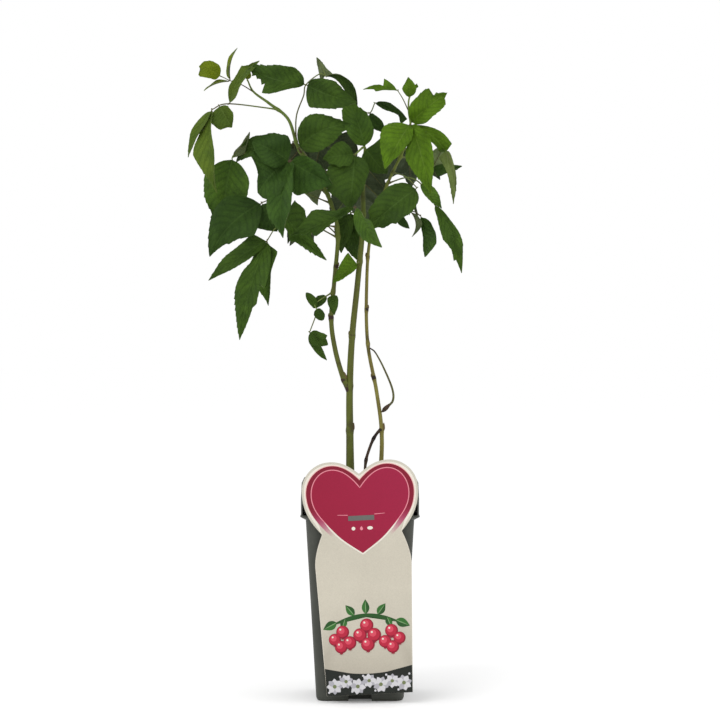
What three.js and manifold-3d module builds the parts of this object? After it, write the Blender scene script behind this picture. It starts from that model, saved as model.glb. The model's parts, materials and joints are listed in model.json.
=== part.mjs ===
// A young raspberry plant in a tall square nursery pot, with a heart-topped card standing before it.
//
// Units are millimetres, +Z is up and the pot's front looks along -Y. The origin is the middle of
// the pot's underside. Canes rise from the compost; compound leaves grow from them by one rule.

import * as THREE from "three";
import { mergeVertices } from "three/addons/utils/BufferGeometryUtils.js";
import Module from "manifold-3d";

const wasm = await Module();
wasm.setup();

// ---------------------------------------------------------------- driving dimensions

const GAP = 0.3; // clear distance between pieces that touch on the real plant
const HAIR = 0.05; // more room, since a faceted tube's flats lie inside its radius

const POT_HEIGHT = 180;
const POT_BASE_WIDTH = 72;
const POT_SHOULDER_WIDTH = 89; // just under the collar
const COLLAR_FOOT_WIDTH = 98;
const COLLAR_TOP_WIDTH = 95.6;
const COLLAR_HEIGHT = 31;
const COLLAR_CHAMFER = 3; // height of the slope under the collar
const POT_WALL = 1.6;
const POT_FLOOR = 8; // floor's top above the ground
const POT_CORNER = 9; // plan radius of the corners
const POT_EDGE = 4; // rounding where wall meets underside
const POT_EDGE_CURVE = [ // that rounding's points, as shares of it: how far in and how high
  [0.6, 0],
  [0.1, 0.35],
];
const ARCH_WIDTH = 19; // drainage arch in the foot of each side
const ARCH_HEIGHT = 6;
const ARCH_DEPTH = 13;
const CORNER_SLOT = { width: 5, foot: 153, height: 9, depth: 5.8 }; // through each collar corner
const COLLAR_CORNER = POT_CORNER + 1; // plan radius at the collar's foot
const CORNER_STEPS = 4; // facets round one corner
const CUT_MARGIN = 5; // how far a cutter reaches past the faces that it opens

const COMPOST_TOP = 165;
const COMPOST_SHRINK = { ledge: 0.4, top: 0.9 }; // how far it has drawn away from the collar

const CARD_THICKNESS = 1;
const CARD_BACK = -(COLLAR_FOOT_WIDTH / 2 + GAP); // the card stands against the collar's foot
const CARD_TURN = 2.8; // degrees anticlockwise, seen from the front
const CARD_PIVOT = { x: 3.3, height: 104 }; // the point that the card is turned about
const HEART = { width: 94.8, top: 198, notch: 187.6, waist: 139.5, waistWidth: 65, lobe: 23.5 };
const HEART_SIDE = { out: 0.92, rise: 12, fall: 13 }; // handles from waist to widest place
const HEART_LOBE = { rise: 0.55, out: 0.78, top: 0.5, in: 0.25 }; // over the top of a lobe
const HEART_DIP = { out: 0.12, rise: 4 }; // down into the notch
const CARD_SHOULDER = { height: 112, width: 78.5, bulge: 0.5, rise: 11 };
const CARD_FOOT = { height: 8, width: 70 };
const CARD_CURVE_STEPS = 6; // facets along each curve of its outline

const LIMB_SIDES = 6;
const LIMB_SAMPLES = 60; // points along a limb, for finding heights and clearances
const LIMB_CLEARANCE = 0.8; // least room between a blade and a limb's bark
const FLARE_FALL = 18; // how fast the swelling at a limb's foot dies away along it

const STEM_RADIUS = 0.9;
const STEM_TAPER = 0.25; // share of its radius that a stem loses by its end
const STEM_SIDES = 4;
const STEM_STEPS = 3; // rings between one point of a stem and the next
const TWIG_SHARE = 0.8; // a side twig's radius as a share of its stem's
const TWIG_ARCH = 0.06; // how far a side twig bows up, as a share of its length

const ROOT_SINK = 1.2; // how far a leaflet's foot is sunk into its stem
const STALK_HALF_WIDTH = 0.6;
const STALK_RAILS = 2; // cross-sections of a leaflet that belong to its stalk
const TIP_HALF_WIDTH = 0.35;
const BLADE_THICKNESS = 1.1; // along the midrib
const BLADE_STATIONS = [0.2, 0.5, 0.82, 1]; // along a blade, from its foot to its tip
const BLADE_FOLD = { least: 14, spread: 10 }; // degrees that each half is lifted from flat
const BLADE_BOW = { least: 0.05, spread: 0.05 }; // height of the bow as a share of the length

// The seeded compound leaves: angles are in degrees, and spreads are full ranges of a random draw.
const BACK_STEM = { shares: [0.5, 1], arch: 0.35 }; // stem points, and how far it arches over them
const BACK_FACING_UP = 0.9; // how much the blades face up, to one part outwards
const BACK_LEAF = {
  aimSpread: 16, droop: 34, droopSpread: 24, shortest: 0.92, lengthSpread: 0.16,
  rollSpread: 24, slimness: 0.58, stalk: 1.5,
};
const BACK_SPRAYS = [ // places on the stem, and each leaflet's turn from it and share of the blade
  { at: 0.7, turns: [[78, 0.86], [-78, 0.86]] },
  { at: 1, turns: [[0, 1], [50, 0.7], [-50, 0.7]] },
];

// ---------------------------------------------------------------- finishes

const FINISH = {
  potPlastic: { color: 0x555852, roughness: 0.55, metalness: 0 },
  compost: { color: 0x33251c, roughness: 1, metalness: 0 },
  card: { color: 0xd3ccbe, roughness: 0.5, metalness: 0 },
  greenCane: { color: 0x646e32, roughness: 0.6, metalness: 0 },
  deadWood: { color: 0x3a281f, roughness: 0.85, metalness: 0 },
  brightLeaf: { color: 0x4e751b, roughness: 0.55, metalness: 0 },
  lightLeaf: { color: 0x5f7f2d, roughness: 0.55, metalness: 0 },
  greenLeaf: { color: 0x3c5f23, roughness: 0.55, metalness: 0 },
  darkLeaf: { color: 0x2d501e, roughness: 0.55, metalness: 0 },
};

const group = new THREE.Group();

function addMesh(name, geometry, finish) {
  const mesh = new THREE.Mesh(geometry, new THREE.MeshStandardMaterial(finish));
  mesh.name = name;
  group.add(mesh);
  return mesh;
}

// ---------------------------------------------------------------- solids

const rad = THREE.MathUtils.degToRad;

function vec(x, y, z) {
  return new THREE.Vector3(x, y, z);
}

// A closed geometry as a solid that can be joined and cut.
function toSolid(geometry) {
  const bare = geometry.clone();
  bare.deleteAttribute("normal");
  bare.deleteAttribute("uv");
  const merged = mergeVertices(bare, 1e-4);
  const vertProperties = new Float32Array(merged.attributes.position.array);
  const triVerts = new Uint32Array(merged.index.array);
  return new wasm.Manifold(new wasm.Mesh({ numProp: 3, vertProperties, triVerts }));
}

function toGeometry(solid) {
  const mesh = solid.getMesh();
  const geometry = new THREE.BufferGeometry();
  geometry.setAttribute("position", new THREE.BufferAttribute(mesh.vertProperties, 3));
  geometry.setIndex(new THREE.BufferAttribute(mesh.triVerts, 1));
  geometry.computeVertexNormals();
  return geometry;
}

// The surface through a row of rings, each a closed loop of the same number of points, with a flat
// fan over the first and the last. Rings run anticlockwise when seen from the way they advance.
function ringLoft(rings) {
  const count = rings[0].length;
  const positions = rings.flat().flatMap((p) => [p.x, p.y, p.z]);
  const index = [];
  for (let ring = 0; ring + 1 < rings.length; ring++) {
    for (let k = 0; k < count; k++) {
      const a = ring * count + k;
      const b = ring * count + ((k + 1) % count);
      index.push(a, b, b + count, a, b + count, a + count);
    }
  }
  const last = (rings.length - 1) * count;
  for (let k = 1; k + 1 < count; k++) {
    index.push(0, k + 1, k);
    index.push(last, last + k, last + k + 1);
  }
  const geometry = new THREE.BufferGeometry();
  geometry.setAttribute("position", new THREE.Float32BufferAttribute(positions, 3));
  geometry.setIndex(index);
  return geometry;
}

function boxSolid(width, depth, height, place) {
  const geometry = new THREE.BoxGeometry(width, depth, height);
  geometry.applyMatrix4(place);
  return toSolid(geometry);
}

// ---------------------------------------------------------------- pot and compost

// A square with rounded corners, anticlockwise from above.
function squareRing(half, radius, z) {
  const ring = [];
  for (let corner = 0; corner < 4; corner++) {
    const centre = vec(half - radius, half - radius, 0).applyAxisAngle(vec(0, 0, 1), (corner * Math.PI) / 2);
    for (let step = 0; step <= CORNER_STEPS; step++) {
      const angle = (corner * Math.PI) / 2 + (step / CORNER_STEPS) * (Math.PI / 2);
      ring.push(vec(centre.x + radius * Math.cos(angle), centre.y + radius * Math.sin(angle), z));
    }
  }
  return ring;
}

const shoulderHeight = POT_HEIGHT - COLLAR_HEIGHT;

// Half the outer width of the body wall at a height.
function bodyHalf(z) {
  return THREE.MathUtils.lerp(POT_BASE_WIDTH, POT_SHOULDER_WIDTH, z / shoulderHeight) / 2;
}

function buildPot() {
  const innerCorner = POT_CORNER - POT_WALL;
  const ledge = shoulderHeight + COLLAR_CHAMFER;
  const rings = [
    ...POT_EDGE_CURVE.map(([inset, rise]) => {
      const corner = rise > 0 ? POT_CORNER : POT_CORNER - POT_EDGE * inset;
      return squareRing(bodyHalf(0) - POT_EDGE * inset, corner, POT_EDGE * rise);
    }),
    squareRing(bodyHalf(POT_EDGE), POT_CORNER, POT_EDGE),
    squareRing(bodyHalf(shoulderHeight), POT_CORNER, shoulderHeight),
    squareRing(COLLAR_FOOT_WIDTH / 2, COLLAR_CORNER, ledge),
    squareRing(COLLAR_TOP_WIDTH / 2, POT_CORNER, POT_HEIGHT),
    squareRing(COLLAR_TOP_WIDTH / 2 - POT_WALL, innerCorner, POT_HEIGHT),
    squareRing(COLLAR_FOOT_WIDTH / 2 - POT_WALL, COLLAR_CORNER - POT_WALL, ledge + POT_WALL),
    squareRing(bodyHalf(shoulderHeight) - POT_WALL, innerCorner, shoulderHeight + POT_WALL),
    squareRing(bodyHalf(POT_FLOOR) - POT_WALL, innerCorner, POT_FLOOR),
  ];
  let pot = toSolid(ringLoft(rings));
  for (let side = 0; side < 4; side++) {
    const turn = new THREE.Matrix4().makeRotationZ((side * Math.PI) / 2);
    const reach = bodyHalf(0) - ARCH_DEPTH / 2 + CUT_MARGIN;
    const arch = turn.clone().multiply(new THREE.Matrix4().makeTranslation(0, reach, 0));
    const archDepth = ARCH_DEPTH + 2 * CUT_MARGIN;
    pot = pot.subtract(boxSolid(ARCH_WIDTH, archDepth, 2 * ARCH_HEIGHT, arch));
    const corner = new THREE.Matrix4().makeRotationZ(Math.PI / 4);
    const out = (COLLAR_FOOT_WIDTH / 2) * Math.SQRT2 - POT_CORNER * (Math.SQRT2 - 1);
    const lift = CORNER_SLOT.foot + CORNER_SLOT.height / 2;
    const slot = new THREE.Matrix4().makeTranslation(0, out, lift);
    const place = turn.clone().multiply(corner).multiply(slot);
    pot = pot.subtract(boxSolid(CORNER_SLOT.width, CORNER_SLOT.depth, CORNER_SLOT.height, place));
  }
  return toGeometry(pot);
}

function buildCompost() {
  const inset = POT_WALL + GAP;
  const corner = POT_CORNER - inset;
  const ledge = shoulderHeight + COLLAR_CHAMFER + POT_WALL;
  const collarHalf = COLLAR_FOOT_WIDTH / 2 - inset;
  const rings = [
    squareRing(bodyHalf(POT_FLOOR) - inset, corner, POT_FLOOR + GAP),
    squareRing(bodyHalf(shoulderHeight) - inset, corner, shoulderHeight + POT_WALL + GAP),
    squareRing(collarHalf - COMPOST_SHRINK.ledge, COLLAR_CORNER - inset, ledge + GAP),
    squareRing(collarHalf - COMPOST_SHRINK.top, corner, COMPOST_TOP),
  ];
  return ringLoft(rings);
}

// ---------------------------------------------------------------- card

// The card's outline in its own upright plane: a heart that runs down into a tapering tongue.
function cardShape() {
  const half = HEART.width / 2;
  const waist = HEART.waistWidth / 2;
  const widest = HEART.top - HEART.lobe;
  const { width, height, bulge, rise } = CARD_SHOULDER;
  const shoulder = [width / 2, height];
  const swell = [width / 2 + bulge, height + rise]; // handle between the shoulder and the waist
  const side = [half * HEART_SIDE.out, HEART.waist + HEART_SIDE.rise]; // handles of the heart's side
  const sideTop = [half, widest - HEART_SIDE.fall];
  const lobeFoot = [half, widest + HEART_LOBE.rise * HEART.lobe]; // and of its lobe
  const lobeOut = [half * HEART_LOBE.out, HEART.top];
  const lobeTop = [half * HEART_LOBE.top, HEART.top];
  const lobeIn = [half * HEART_LOBE.in, HEART.top];
  const dip = [half * HEART_DIP.out, HEART.notch + HEART_DIP.rise];
  const left = ([x, y]) => [-x, y];
  const shape = new THREE.Shape();
  shape.moveTo(-CARD_FOOT.width / 2, CARD_FOOT.height);
  shape.lineTo(CARD_FOOT.width / 2, CARD_FOOT.height);
  shape.lineTo(...shoulder);
  shape.quadraticCurveTo(...swell, waist, HEART.waist);
  shape.bezierCurveTo(...side, ...sideTop, half, widest);
  shape.bezierCurveTo(...lobeFoot, ...lobeOut, ...lobeTop);
  shape.bezierCurveTo(...lobeIn, ...dip, 0, HEART.notch);
  shape.bezierCurveTo(...left(dip), ...left(lobeIn), ...left(lobeTop));
  shape.bezierCurveTo(...left(lobeOut), ...left(lobeFoot), -half, widest);
  shape.bezierCurveTo(...left(sideTop), ...left(side), -waist, HEART.waist);
  shape.quadraticCurveTo(...left(swell), ...left(shoulder));
  shape.lineTo(-CARD_FOOT.width / 2, CARD_FOOT.height);
  return shape;
}

function buildCard() {
  const geometry = new THREE.ExtrudeGeometry(cardShape(), {
    depth: CARD_THICKNESS,
    bevelEnabled: false,
    curveSegments: CARD_CURVE_STEPS,
  });
  geometry.translate(0, -CARD_PIVOT.height, 0);
  geometry.rotateZ(rad(CARD_TURN));
  geometry.translate(CARD_PIVOT.x, CARD_PIVOT.height, 0);
  geometry.rotateX(Math.PI / 2);
  geometry.translate(0, CARD_BACK, 0);
  return geometry;
}

// ---------------------------------------------------------------- limbs

// Each limb runs through a few points from its foot to its tip and tapers between two radii. A limb
// that grows from another starts inside it and is cut back clear of its bark.
const LIMBS = {
  main_cane: {
    points: [
      [-8, -3, 165], [-8.5, -3, 215], [-8.6, -4, 255], [-6.5, -5, 300], [-1.5, -4, 350], [2.5, -3, 395],
      [2, -3, 438],
    ],
    radius: [2.6, 1.5],
    flare: 1.1,
    steps: 14,
    finish: FINISH.greenCane,
  },
  left_cane: {
    parent: "main_cane",
    points: [
      [-9, -4, 254], [-15, -6, 268], [-21, -6, 290], [-24, -6, 314], [-21.5, -5, 345], [-18.5, -4, 385],
      [-24, -4, 410], [-37, -5, 438], [-51, -6, 456], [-60, -6, 481], [-77, -6, 495],
    ],
    radius: [2.2, 1.2],
    flare: 0.4,
    steps: 20,
    finish: FINISH.greenCane,
  },
  right_cane: {
    points: [
      [16, 6, 165], [18.3, 6, 215], [14, 6, 253], [6.5, 7, 294], [5.5, 7, 340], [9, 6, 385],
      [22, 3, 425], [36, -3, 455], [41, -8, 471],
    ],
    radius: [2.2, 1.3],
    flare: 0.9,
    steps: 17,
    finish: FINISH.greenCane,
  },
  dry_stalk: {
    parent: "right_cane",
    points: [[8.4, 7, 290], [13, 4, 286], [20, 2, 273], [27, 1, 256], [27.5, 1, 246], [22, 2, 240]],
    radius: [0.8, 1.5],
    flare: 0,
    steps: 9,
    finish: FINISH.deadWood,
  },
  dead_twig: {
    parent: "right_cane",
    points: [[4, 2, 166], [4.5, 3, 192], [8, 4, 206], [12.5, 5, 216], [18, 6, 223]],
    radius: [1.6, 1.9],
    flare: 0,
    steps: 9,
    finish: FINISH.deadWood,
  },
};

function smoothCurve(points) {
  return new THREE.CatmullRomCurve3(points, false, "catmullrom", 0.5);
}

function limbCurve(limb) {
  return smoothCurve(limb.points.map((p) => vec(...p)));
}

// The limb's radius at a share of its run: an even taper, with a swelling at its foot.
function limbRadius(limb, share) {
  const [foot, tip] = limb.radius;
  return THREE.MathUtils.lerp(foot, tip, share) + limb.flare * Math.exp(-share * FLARE_FALL);
}

// A tube round a row of points. Each ring is square to the path and turns as little as it can.
function tube(path, radiusAt, sides) {
  const rings = [];
  const start = path[1].clone().sub(path[0]).normalize();
  let across = Math.abs(start.y) < 0.9 ? vec(0, 1, 0) : vec(1, 0, 0);
  for (let k = 0; k < path.length; k++) {
    const before = path[Math.max(k - 1, 0)];
    const after = path[Math.min(k + 1, path.length - 1)];
    const along = after.clone().sub(before).normalize();
    across = across.clone().addScaledVector(along, -across.dot(along)).normalize();
    const third = along.clone().cross(across);
    const radius = radiusAt(k / (path.length - 1));
    const ring = [];
    for (let side = 0; side < sides; side++) {
      const angle = (side / sides) * 2 * Math.PI;
      const spoke = across.clone().multiplyScalar(Math.cos(angle) * radius);
      ring.push(path[k].clone().add(spoke).addScaledVector(third, Math.sin(angle) * radius));
    }
    rings.push(ring);
  }
  return toSolid(ringLoft(rings));
}

function limbTube(limb, clearance) {
  const path = limbCurve(limb).getPoints(limb.steps);
  return tube(path, (share) => limbRadius(limb, share) + clearance, LIMB_SIDES);
}

// Everything up to just over the compost's surface, which each cane is cut flat against.
const groundTop = COMPOST_TOP + GAP;
const underground = boxSolid(
  2 * POT_HEIGHT, 2 * POT_HEIGHT, groundTop,
  new THREE.Matrix4().makeTranslation(0, 0, groundTop / 2),
);

const limbClear = {}; // each limb's bark with the clear gap round it

function buildLimb(name) {
  const limb = LIMBS[name];
  limbClear[name] = limbTube(limb, GAP + HAIR);
  let solid = limbTube(limb, 0).subtract(underground);
  if (limb.parent) {
    solid = largest(solid.subtract(limbClear[limb.parent]));
  }
  return toGeometry(solid);
}

// The largest body of a solid that a cut has parted, without its loose scraps.
function largest(solid) {
  const bodies = solid.decompose();
  bodies.sort((a, b) => b.volume() - a.volume());
  return bodies[0];
}

// ---------------------------------------------------------------- leaves

// A fixed stream of numbers from 0 to 1 for each seed.
function seeded(seed) {
  let state = seed >>> 0;
  return () => {
    state = (Math.imul(state, 1664525) + 1013904223) >>> 0;
    return state / 4294967296;
  };
}

const FRONT = vec(0, -1, 0);

// A direction from its heading, anticlockwise from +X as seen from the front, and its lean forward.
function direction(heading, lean) {
  const h = rad(heading);
  const l = rad(lean);
  return vec(Math.cos(h) * Math.cos(l), -Math.sin(l), Math.sin(h) * Math.cos(l));
}

const OUTLINE = { foot: 0.6, point: 0.95 }; // powers that round a blade's foot and draw out its point

function outlineCurve(t) {
  return Math.pow(t, OUTLINE.foot) * Math.pow(1 - t, OUTLINE.point);
}

const widestPlace = OUTLINE.foot / (OUTLINE.foot + OUTLINE.point);
const outlinePeak = outlineCurve(widestPlace);

// Share of the full half width at a place along a blade.
function bladeOutline(t) {
  return outlineCurve(t) / outlinePeak;
}

// The three rails of a leaflet at its stations: left edge, midrib and right edge, with its face. The
// blade is folded along its midrib and bowed along its length.
function leafletRails(foot, leaf, random) {
  const { along, facing, length, width, bend, stalk } = leaf;
  const flat = facing.clone().addScaledVector(along, -facing.dot(along)).normalize();
  const turned = along.clone().cross(flat);
  const roll = rad(leaf.roll);
  const face = flat.clone().multiplyScalar(Math.cos(roll)).addScaledVector(turned, Math.sin(roll));
  const side = along.clone().cross(face);
  const fold = rad(BLADE_FOLD.least + BLADE_FOLD.spread * random());
  const bowed = BLADE_BOW.least + BLADE_BOW.spread * random();
  const stations = [[-stalk - ROOT_SINK, 0], [0, 0], ...BLADE_STATIONS.map((t) => [t * length, t])];
  const rails = stations.map(([distance, t]) => {
    const bow = 4 * t * (1 - t) * length;
    const middle = foot.clone()
      .addScaledVector(along, distance + stalk)
      .addScaledVector(side, bend * bow)
      .addScaledVector(face, bowed * bow);
    const least = t < 1 ? STALK_HALF_WIDTH : TIP_HALF_WIDTH;
    const half = Math.max(bladeOutline(t) * width * 0.5, least);
    const lifted = middle.clone().addScaledVector(face, half * Math.sin(fold));
    const reach = half * Math.cos(fold);
    return [
      lifted.clone().addScaledVector(side, -reach),
      middle,
      lifted.clone().addScaledVector(side, reach),
    ];
  });
  return { rails, face };
}

// A leaflet as a closed solid, thickest along its midrib and thin at its edges.
function leafletSolid({ rails, face }) {
  const up = face.clone().multiplyScalar(BLADE_THICKNESS / 2);
  const rings = rails.map(([left, middle, right]) => {
    return [left, middle.clone().add(up), right, middle.clone().sub(up)];
  });
  return toSolid(ringLoft(rings));
}

// Whether a leaflet's blade keeps clear of every limb.
function clearOfLimbs({ rails }) {
  const blade = rails.slice(STALK_RAILS).flat();
  return Object.values(LIMBS).every((limb) => {
    const path = limbCurve(limb).getPoints(LIMB_SAMPLES);
    return path.every((point, k) => {
      const least = limbRadius(limb, k / LIMB_SAMPLES) + LIMB_CLEARANCE;
      return blade.every((p) => p.distanceTo(point) > least);
    });
  });
}

// Where a limb passes a height on its way up.
function limbPoint(limb, height) {
  const path = limbCurve(limb).getPoints(LIMB_SAMPLES);
  const k = path.findIndex((p) => p.z >= height);
  if (k <= 0) {
    return path[path.length - 1];
  }
  const share = (height - path[k - 1].z) / (path[k].z - path[k - 1].z);
  return path[k - 1].clone().lerp(path[k], share);
}

function stemTube(points, radius) {
  const path = smoothCurve(points).getPoints(STEM_STEPS * (points.length - 1));
  return tube(path, (share) => radius * (1 - STEM_TAPER * share), STEM_SIDES);
}

// A leaflet's row: heading, length, width, lean, roll, bend and stalk.
function leafFromRow([heading, length, width, lean, roll, bend, stalk]) {
  return { along: direction(heading, lean), facing: FRONT, length, width, roll, bend, stalk };
}

// Each mass of leaves grows from one stem, which leaves a limb at a height, or runs on from its tip,
// and goes through its points. Leaflets stand at shares of its run, or at the end of a twig.
const MASSES = [
  {
    name: "left_tip_leaves", limb: "left_cane", finish: FINISH.lightLeaf,
    stem: [[-89, -5, 504], [-94, -4, 514]],
    sprays: [
      { at: 0.45, to: [-109, -8, 513], leaflets: [
        [154, 19, 17, 10, 15, 0, 8.5], [78, 27, 12, 0, -76, -0.03, 1], [201, 22, 10, 5, 74, 0.05, 1],
      ] },
      { at: 1, leaflets: [[112, 8, 4, 0, 30, 0, 0.5], [72, 7, 4, 12, 30, 0, 0.5]] },
    ],
  },
  {
    name: "left_droop_leaves", limb: "left_cane", height: 489, finish: FINISH.lightLeaf,
    stem: [[-109, -16, 492.5], [-123, -17, 487.5]],
    sprays: [
      { at: 0.5, leaflets: [[56, 45, 19, 6, -46, -0.06, 1.5]] },
      { at: 0.72, leaflets: [[-64, 21, 20, 12, 15, 0, 1]] },
      { at: 1, leaflets: [[-86, 69, 22, 14, 48, 0, 1.5], [-117, 43, 14, -6, 52, -0.05, 1.5]] },
    ],
  },
  {
    name: "upper_left_leaves", limb: "left_cane", height: 462, finish: FINISH.greenLeaf,
    stem: [[-53, -8, 483], [-47, -9, 500], [-45, -10, 509], [-34, -9, 518], [-28.5, -8, 516.5]],
    sprays: [
      { at: 0.6, leaflets: [[166, 49, 24, 18, 4, -0.07, 1.5], [-22, 48, 28, 24, 10, 0.03, 1.5]] },
      { at: 1, leaflets: [[112, 17, 13, -5, 165, 0, 0.5], [-46, 40, 13, -24, 50, -0.34, 0.5]] },
    ],
  },
  {
    name: "upper_centre_leaves", limb: "left_cane", height: 452, finish: FINISH.greenLeaf,
    stem: [[-51, -11, 456]],
    sprays: [{ at: 1, leaflets: [[29, 46, 30, 10, 10, -0.1, 1.5]] }],
  },
  {
    name: "centre_leaves", limb: "main_cane", finish: FINISH.greenLeaf,
    stem: [[4, -6, 457], [-4, -16, 450.5]],
    sprays: [
      { at: 0.5, leaflets: [[106, 41, 27, 2, 15, 0, 1.5], [-50, 27, 20, -6, 20, 0, 1.5]] },
      { at: 1, leaflets: [[-172, 26, 23, 14, 10, 0, 1.5], [-92, 46, 32, 14, 10, 0, 1.5]] },
    ],
  },
  {
    name: "left_middle_leaves", limb: "left_cane", height: 437, finish: FINISH.darkLeaf,
    stem: [[-47, -20, 446], [-58, -27, 444]],
    sprays: [
      { at: 1, leaflets: [
        [-30, 40, 24, 14, 10, 0, 1.5], [152, 39, 32, 10, 10, 0, 1.5],
        [-144, 36, 32, 12, 15, 0, 1.5], [-97, 69, 24, 26, 40, 0, 1.5],
      ] },
    ],
  },
  {
    name: "left_outer_leaves", limb: "left_cane", height: 418, finish: FINISH.darkLeaf,
    stem: [[-74, 8, 456], [-107, 4, 450]],
    sprays: [
      { at: 0.04, leaflets: [[135, 27, 20, 0, 170, 0, 1]] },
      { at: 0.5, leaflets: [[-162, 33, 22, 2, 20, 0.22, 1]] },
      { at: 1, leaflets: [[50, 25, 14, -4, 130, 0, 1], [-100, 57, 37, -6, 12, 0, 2]] },
    ],
  },
  {
    name: "left_low_leaves", limb: "left_cane", height: 411, finish: FINISH.darkLeaf,
    stem: [[-55, -2, 421], [-82, -8, 411]],
    sprays: [{ at: 1, leaflets: [[-134, 62, 40, 18, 12, 0.07, 1.5], [-62, 26, 20, 6, 15, 0, 1.5]] }],
  },
  {
    name: "left_centre_leaves", limb: "left_cane", height: 391, finish: FINISH.greenLeaf,
    stem: [[-40, -14, 394], [-63, -16, 401]],
    sprays: [{ at: 1, leaflets: [[-48, 52, 30, 14, 10, 0.03, 1.5]] }],
  },
  {
    name: "left_hanging_leaves", limb: "left_cane", height: 382, finish: FINISH.darkLeaf,
    stem: [[-48, -8, 396], [-68, -14, 391], [-77, -18, 379]],
    sprays: [
      { at: 1, leaflets: [
        [-146, 58, 16, 10, 20, 0.03, 1], [-105, 90, 27, 22, 25, 0, 2], [-89, 52, 16, 4, 25, -0.1, 2],
      ] },
    ],
  },
  {
    name: "centre_front_leaves", limb: "main_cane", height: 395, finish: FINISH.greenLeaf,
    stem: [[-3, -20, 401], [-4, -40, 405]],
    sprays: [{ at: 1, leaflets: [[-155, 57, 22, 8, -20, 0, 1.5], [-57, 40, 16, 22, 48, 0, 1.5]] }],
  },
  {
    name: "right_front_leaves", limb: "right_cane", height: 437, finish: FINISH.greenLeaf,
    stem: [[38, -16, 432], [47, -26, 422]],
    sprays: [{ at: 1, leaflets: [[-141, 52, 33, 10, 8, 0, 1.5]] }],
  },
  {
    name: "right_tip_leaves", limb: "right_cane", finish: FINISH.brightLeaf,
    stem: [[42, -9.5, 477], [40.5, -10, 487], [41, -9, 498], [46, -8, 506]],
    sprays: [
      { at: 0.25, leaflets: [
        [-120, 47, 29, 28, 15, -0.04, 2], [-72, 68, 26, 30, 20, 0, 2],
        [-62, 74, 20, -8, 35, -0.25, 2], [38, 40, 24, 18, 12, -0.04, 1.5],
      ] },
      { at: 0.5, to: [31, -12, 504.5], leaflets: [[178, 28, 12, 8, 30, 0, 0.5]] },
      { at: 0.75, leaflets: [[92, 17, 12, 10, 20, 0, 1]] },
      { at: 1, leaflets: [[70, 9, 4, 0, 30, 0, 0.5], [105, 8, 4, 10, 30, 0, 0.5]] },
    ],
  },
  {
    name: "right_outer_leaves", limb: "right_cane", height: 450, finish: FINISH.darkLeaf,
    stem: [[50, 8, 448], [61, 12, 442]],
    sprays: [
      { at: 0.8, leaflets: [[128, 18, 14, 6, 30, 0, 1]] },
      { at: 1, leaflets: [[2, 26, 12, -2, 25, 0, 1], [62, 20, 15, 0, 165, 0, 1]] },
    ],
  },
  {
    name: "right_hanging_leaves", limb: "right_cane", height: 428, finish: FINISH.darkLeaf,
    stem: [[40, -8, 432], [52, -12, 425], [62, -13, 409]],
    sprays: [
      { at: 0.6, leaflets: [[-53, 28, 13, 4, 20, 0, 1]] },
      { at: 1, leaflets: [[-66, 60, 17, 10, 30, -0.06, 1]] },
    ],
  },
  {
    name: "right_small_leaves", limb: "right_cane", height: 400, finish: FINISH.darkLeaf,
    stem: [[32, 10, 402], [44, 9, 405], [51, 7, 401]],
    sprays: [
      { at: 0.33, leaflets: [[-51, 14, 8, 4, 20, 0, 1]] },
      { at: 0.66, leaflets: [[-95, 21, 11, 2, 50, 0, 1]] },
      { at: 1, leaflets: [[-87, 35, 14, 4, 35, -0.12, 1]] },
    ],
  },
  {
    name: "upper_dark_leaves", limb: "main_cane", height: 430, finish: FINISH.darkLeaf,
    stem: [[4, 8, 462], [-2, 12, 490], [8, 12, 488], [12.5, 11, 496.5]],
    sprays: [
      { at: 0.75, leaflets: [[-52, 22, 13, 2, 35, 0, 0.5]] },
      { at: 1, leaflets: [[-29, 30, 14, 2, 36, -0.1, 0.5]] },
    ],
  },
  {
    name: "low_sprig_leaves", limb: "left_cane", height: 337, finish: FINISH.greenLeaf,
    stem: [[-37, -8, 327], [-36, -8, 320], [-42, -8, 303]],
    sprays: [
      { at: 0, leaflets: [[-88, 19, 10, 32, 10, 0, 3.5]] },
      { at: 0.1, leaflets: [[-141, 15, 9, 0, 15, 0, 1]] },
      { at: 0.55, leaflets: [[118, 15, 9, 0, 10, 0, 0.5], [-60, 11, 9, 6, 10, 0, 0.5]] },
      { at: 1, leaflets: [[-35, 18, 13, 6, 10, 0, 0.5], [-60, 27, 9, -4, 20, 0, 0.5]] },
    ],
  },
  {
    name: "low_centre_leaves", limb: "main_cane", height: 362, finish: FINISH.brightLeaf,
    stem: [[-2, -10, 361]],
    sprays: [{ at: 1, leaflets: [[-142, 26, 14, 10, 20, 0, 1]] }],
  },
  {
    name: "inner_leaves", limb: "main_cane", height: 402, finish: FINISH.greenLeaf,
    stem: [[-8, 8, 404]],
    sprays: [{ at: 1, leaflets: [[-105, 34, 18, -4, 30, 0, 1], [-75, 36, 18, -8, 30, 0, 1]] }],
  },
];

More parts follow.
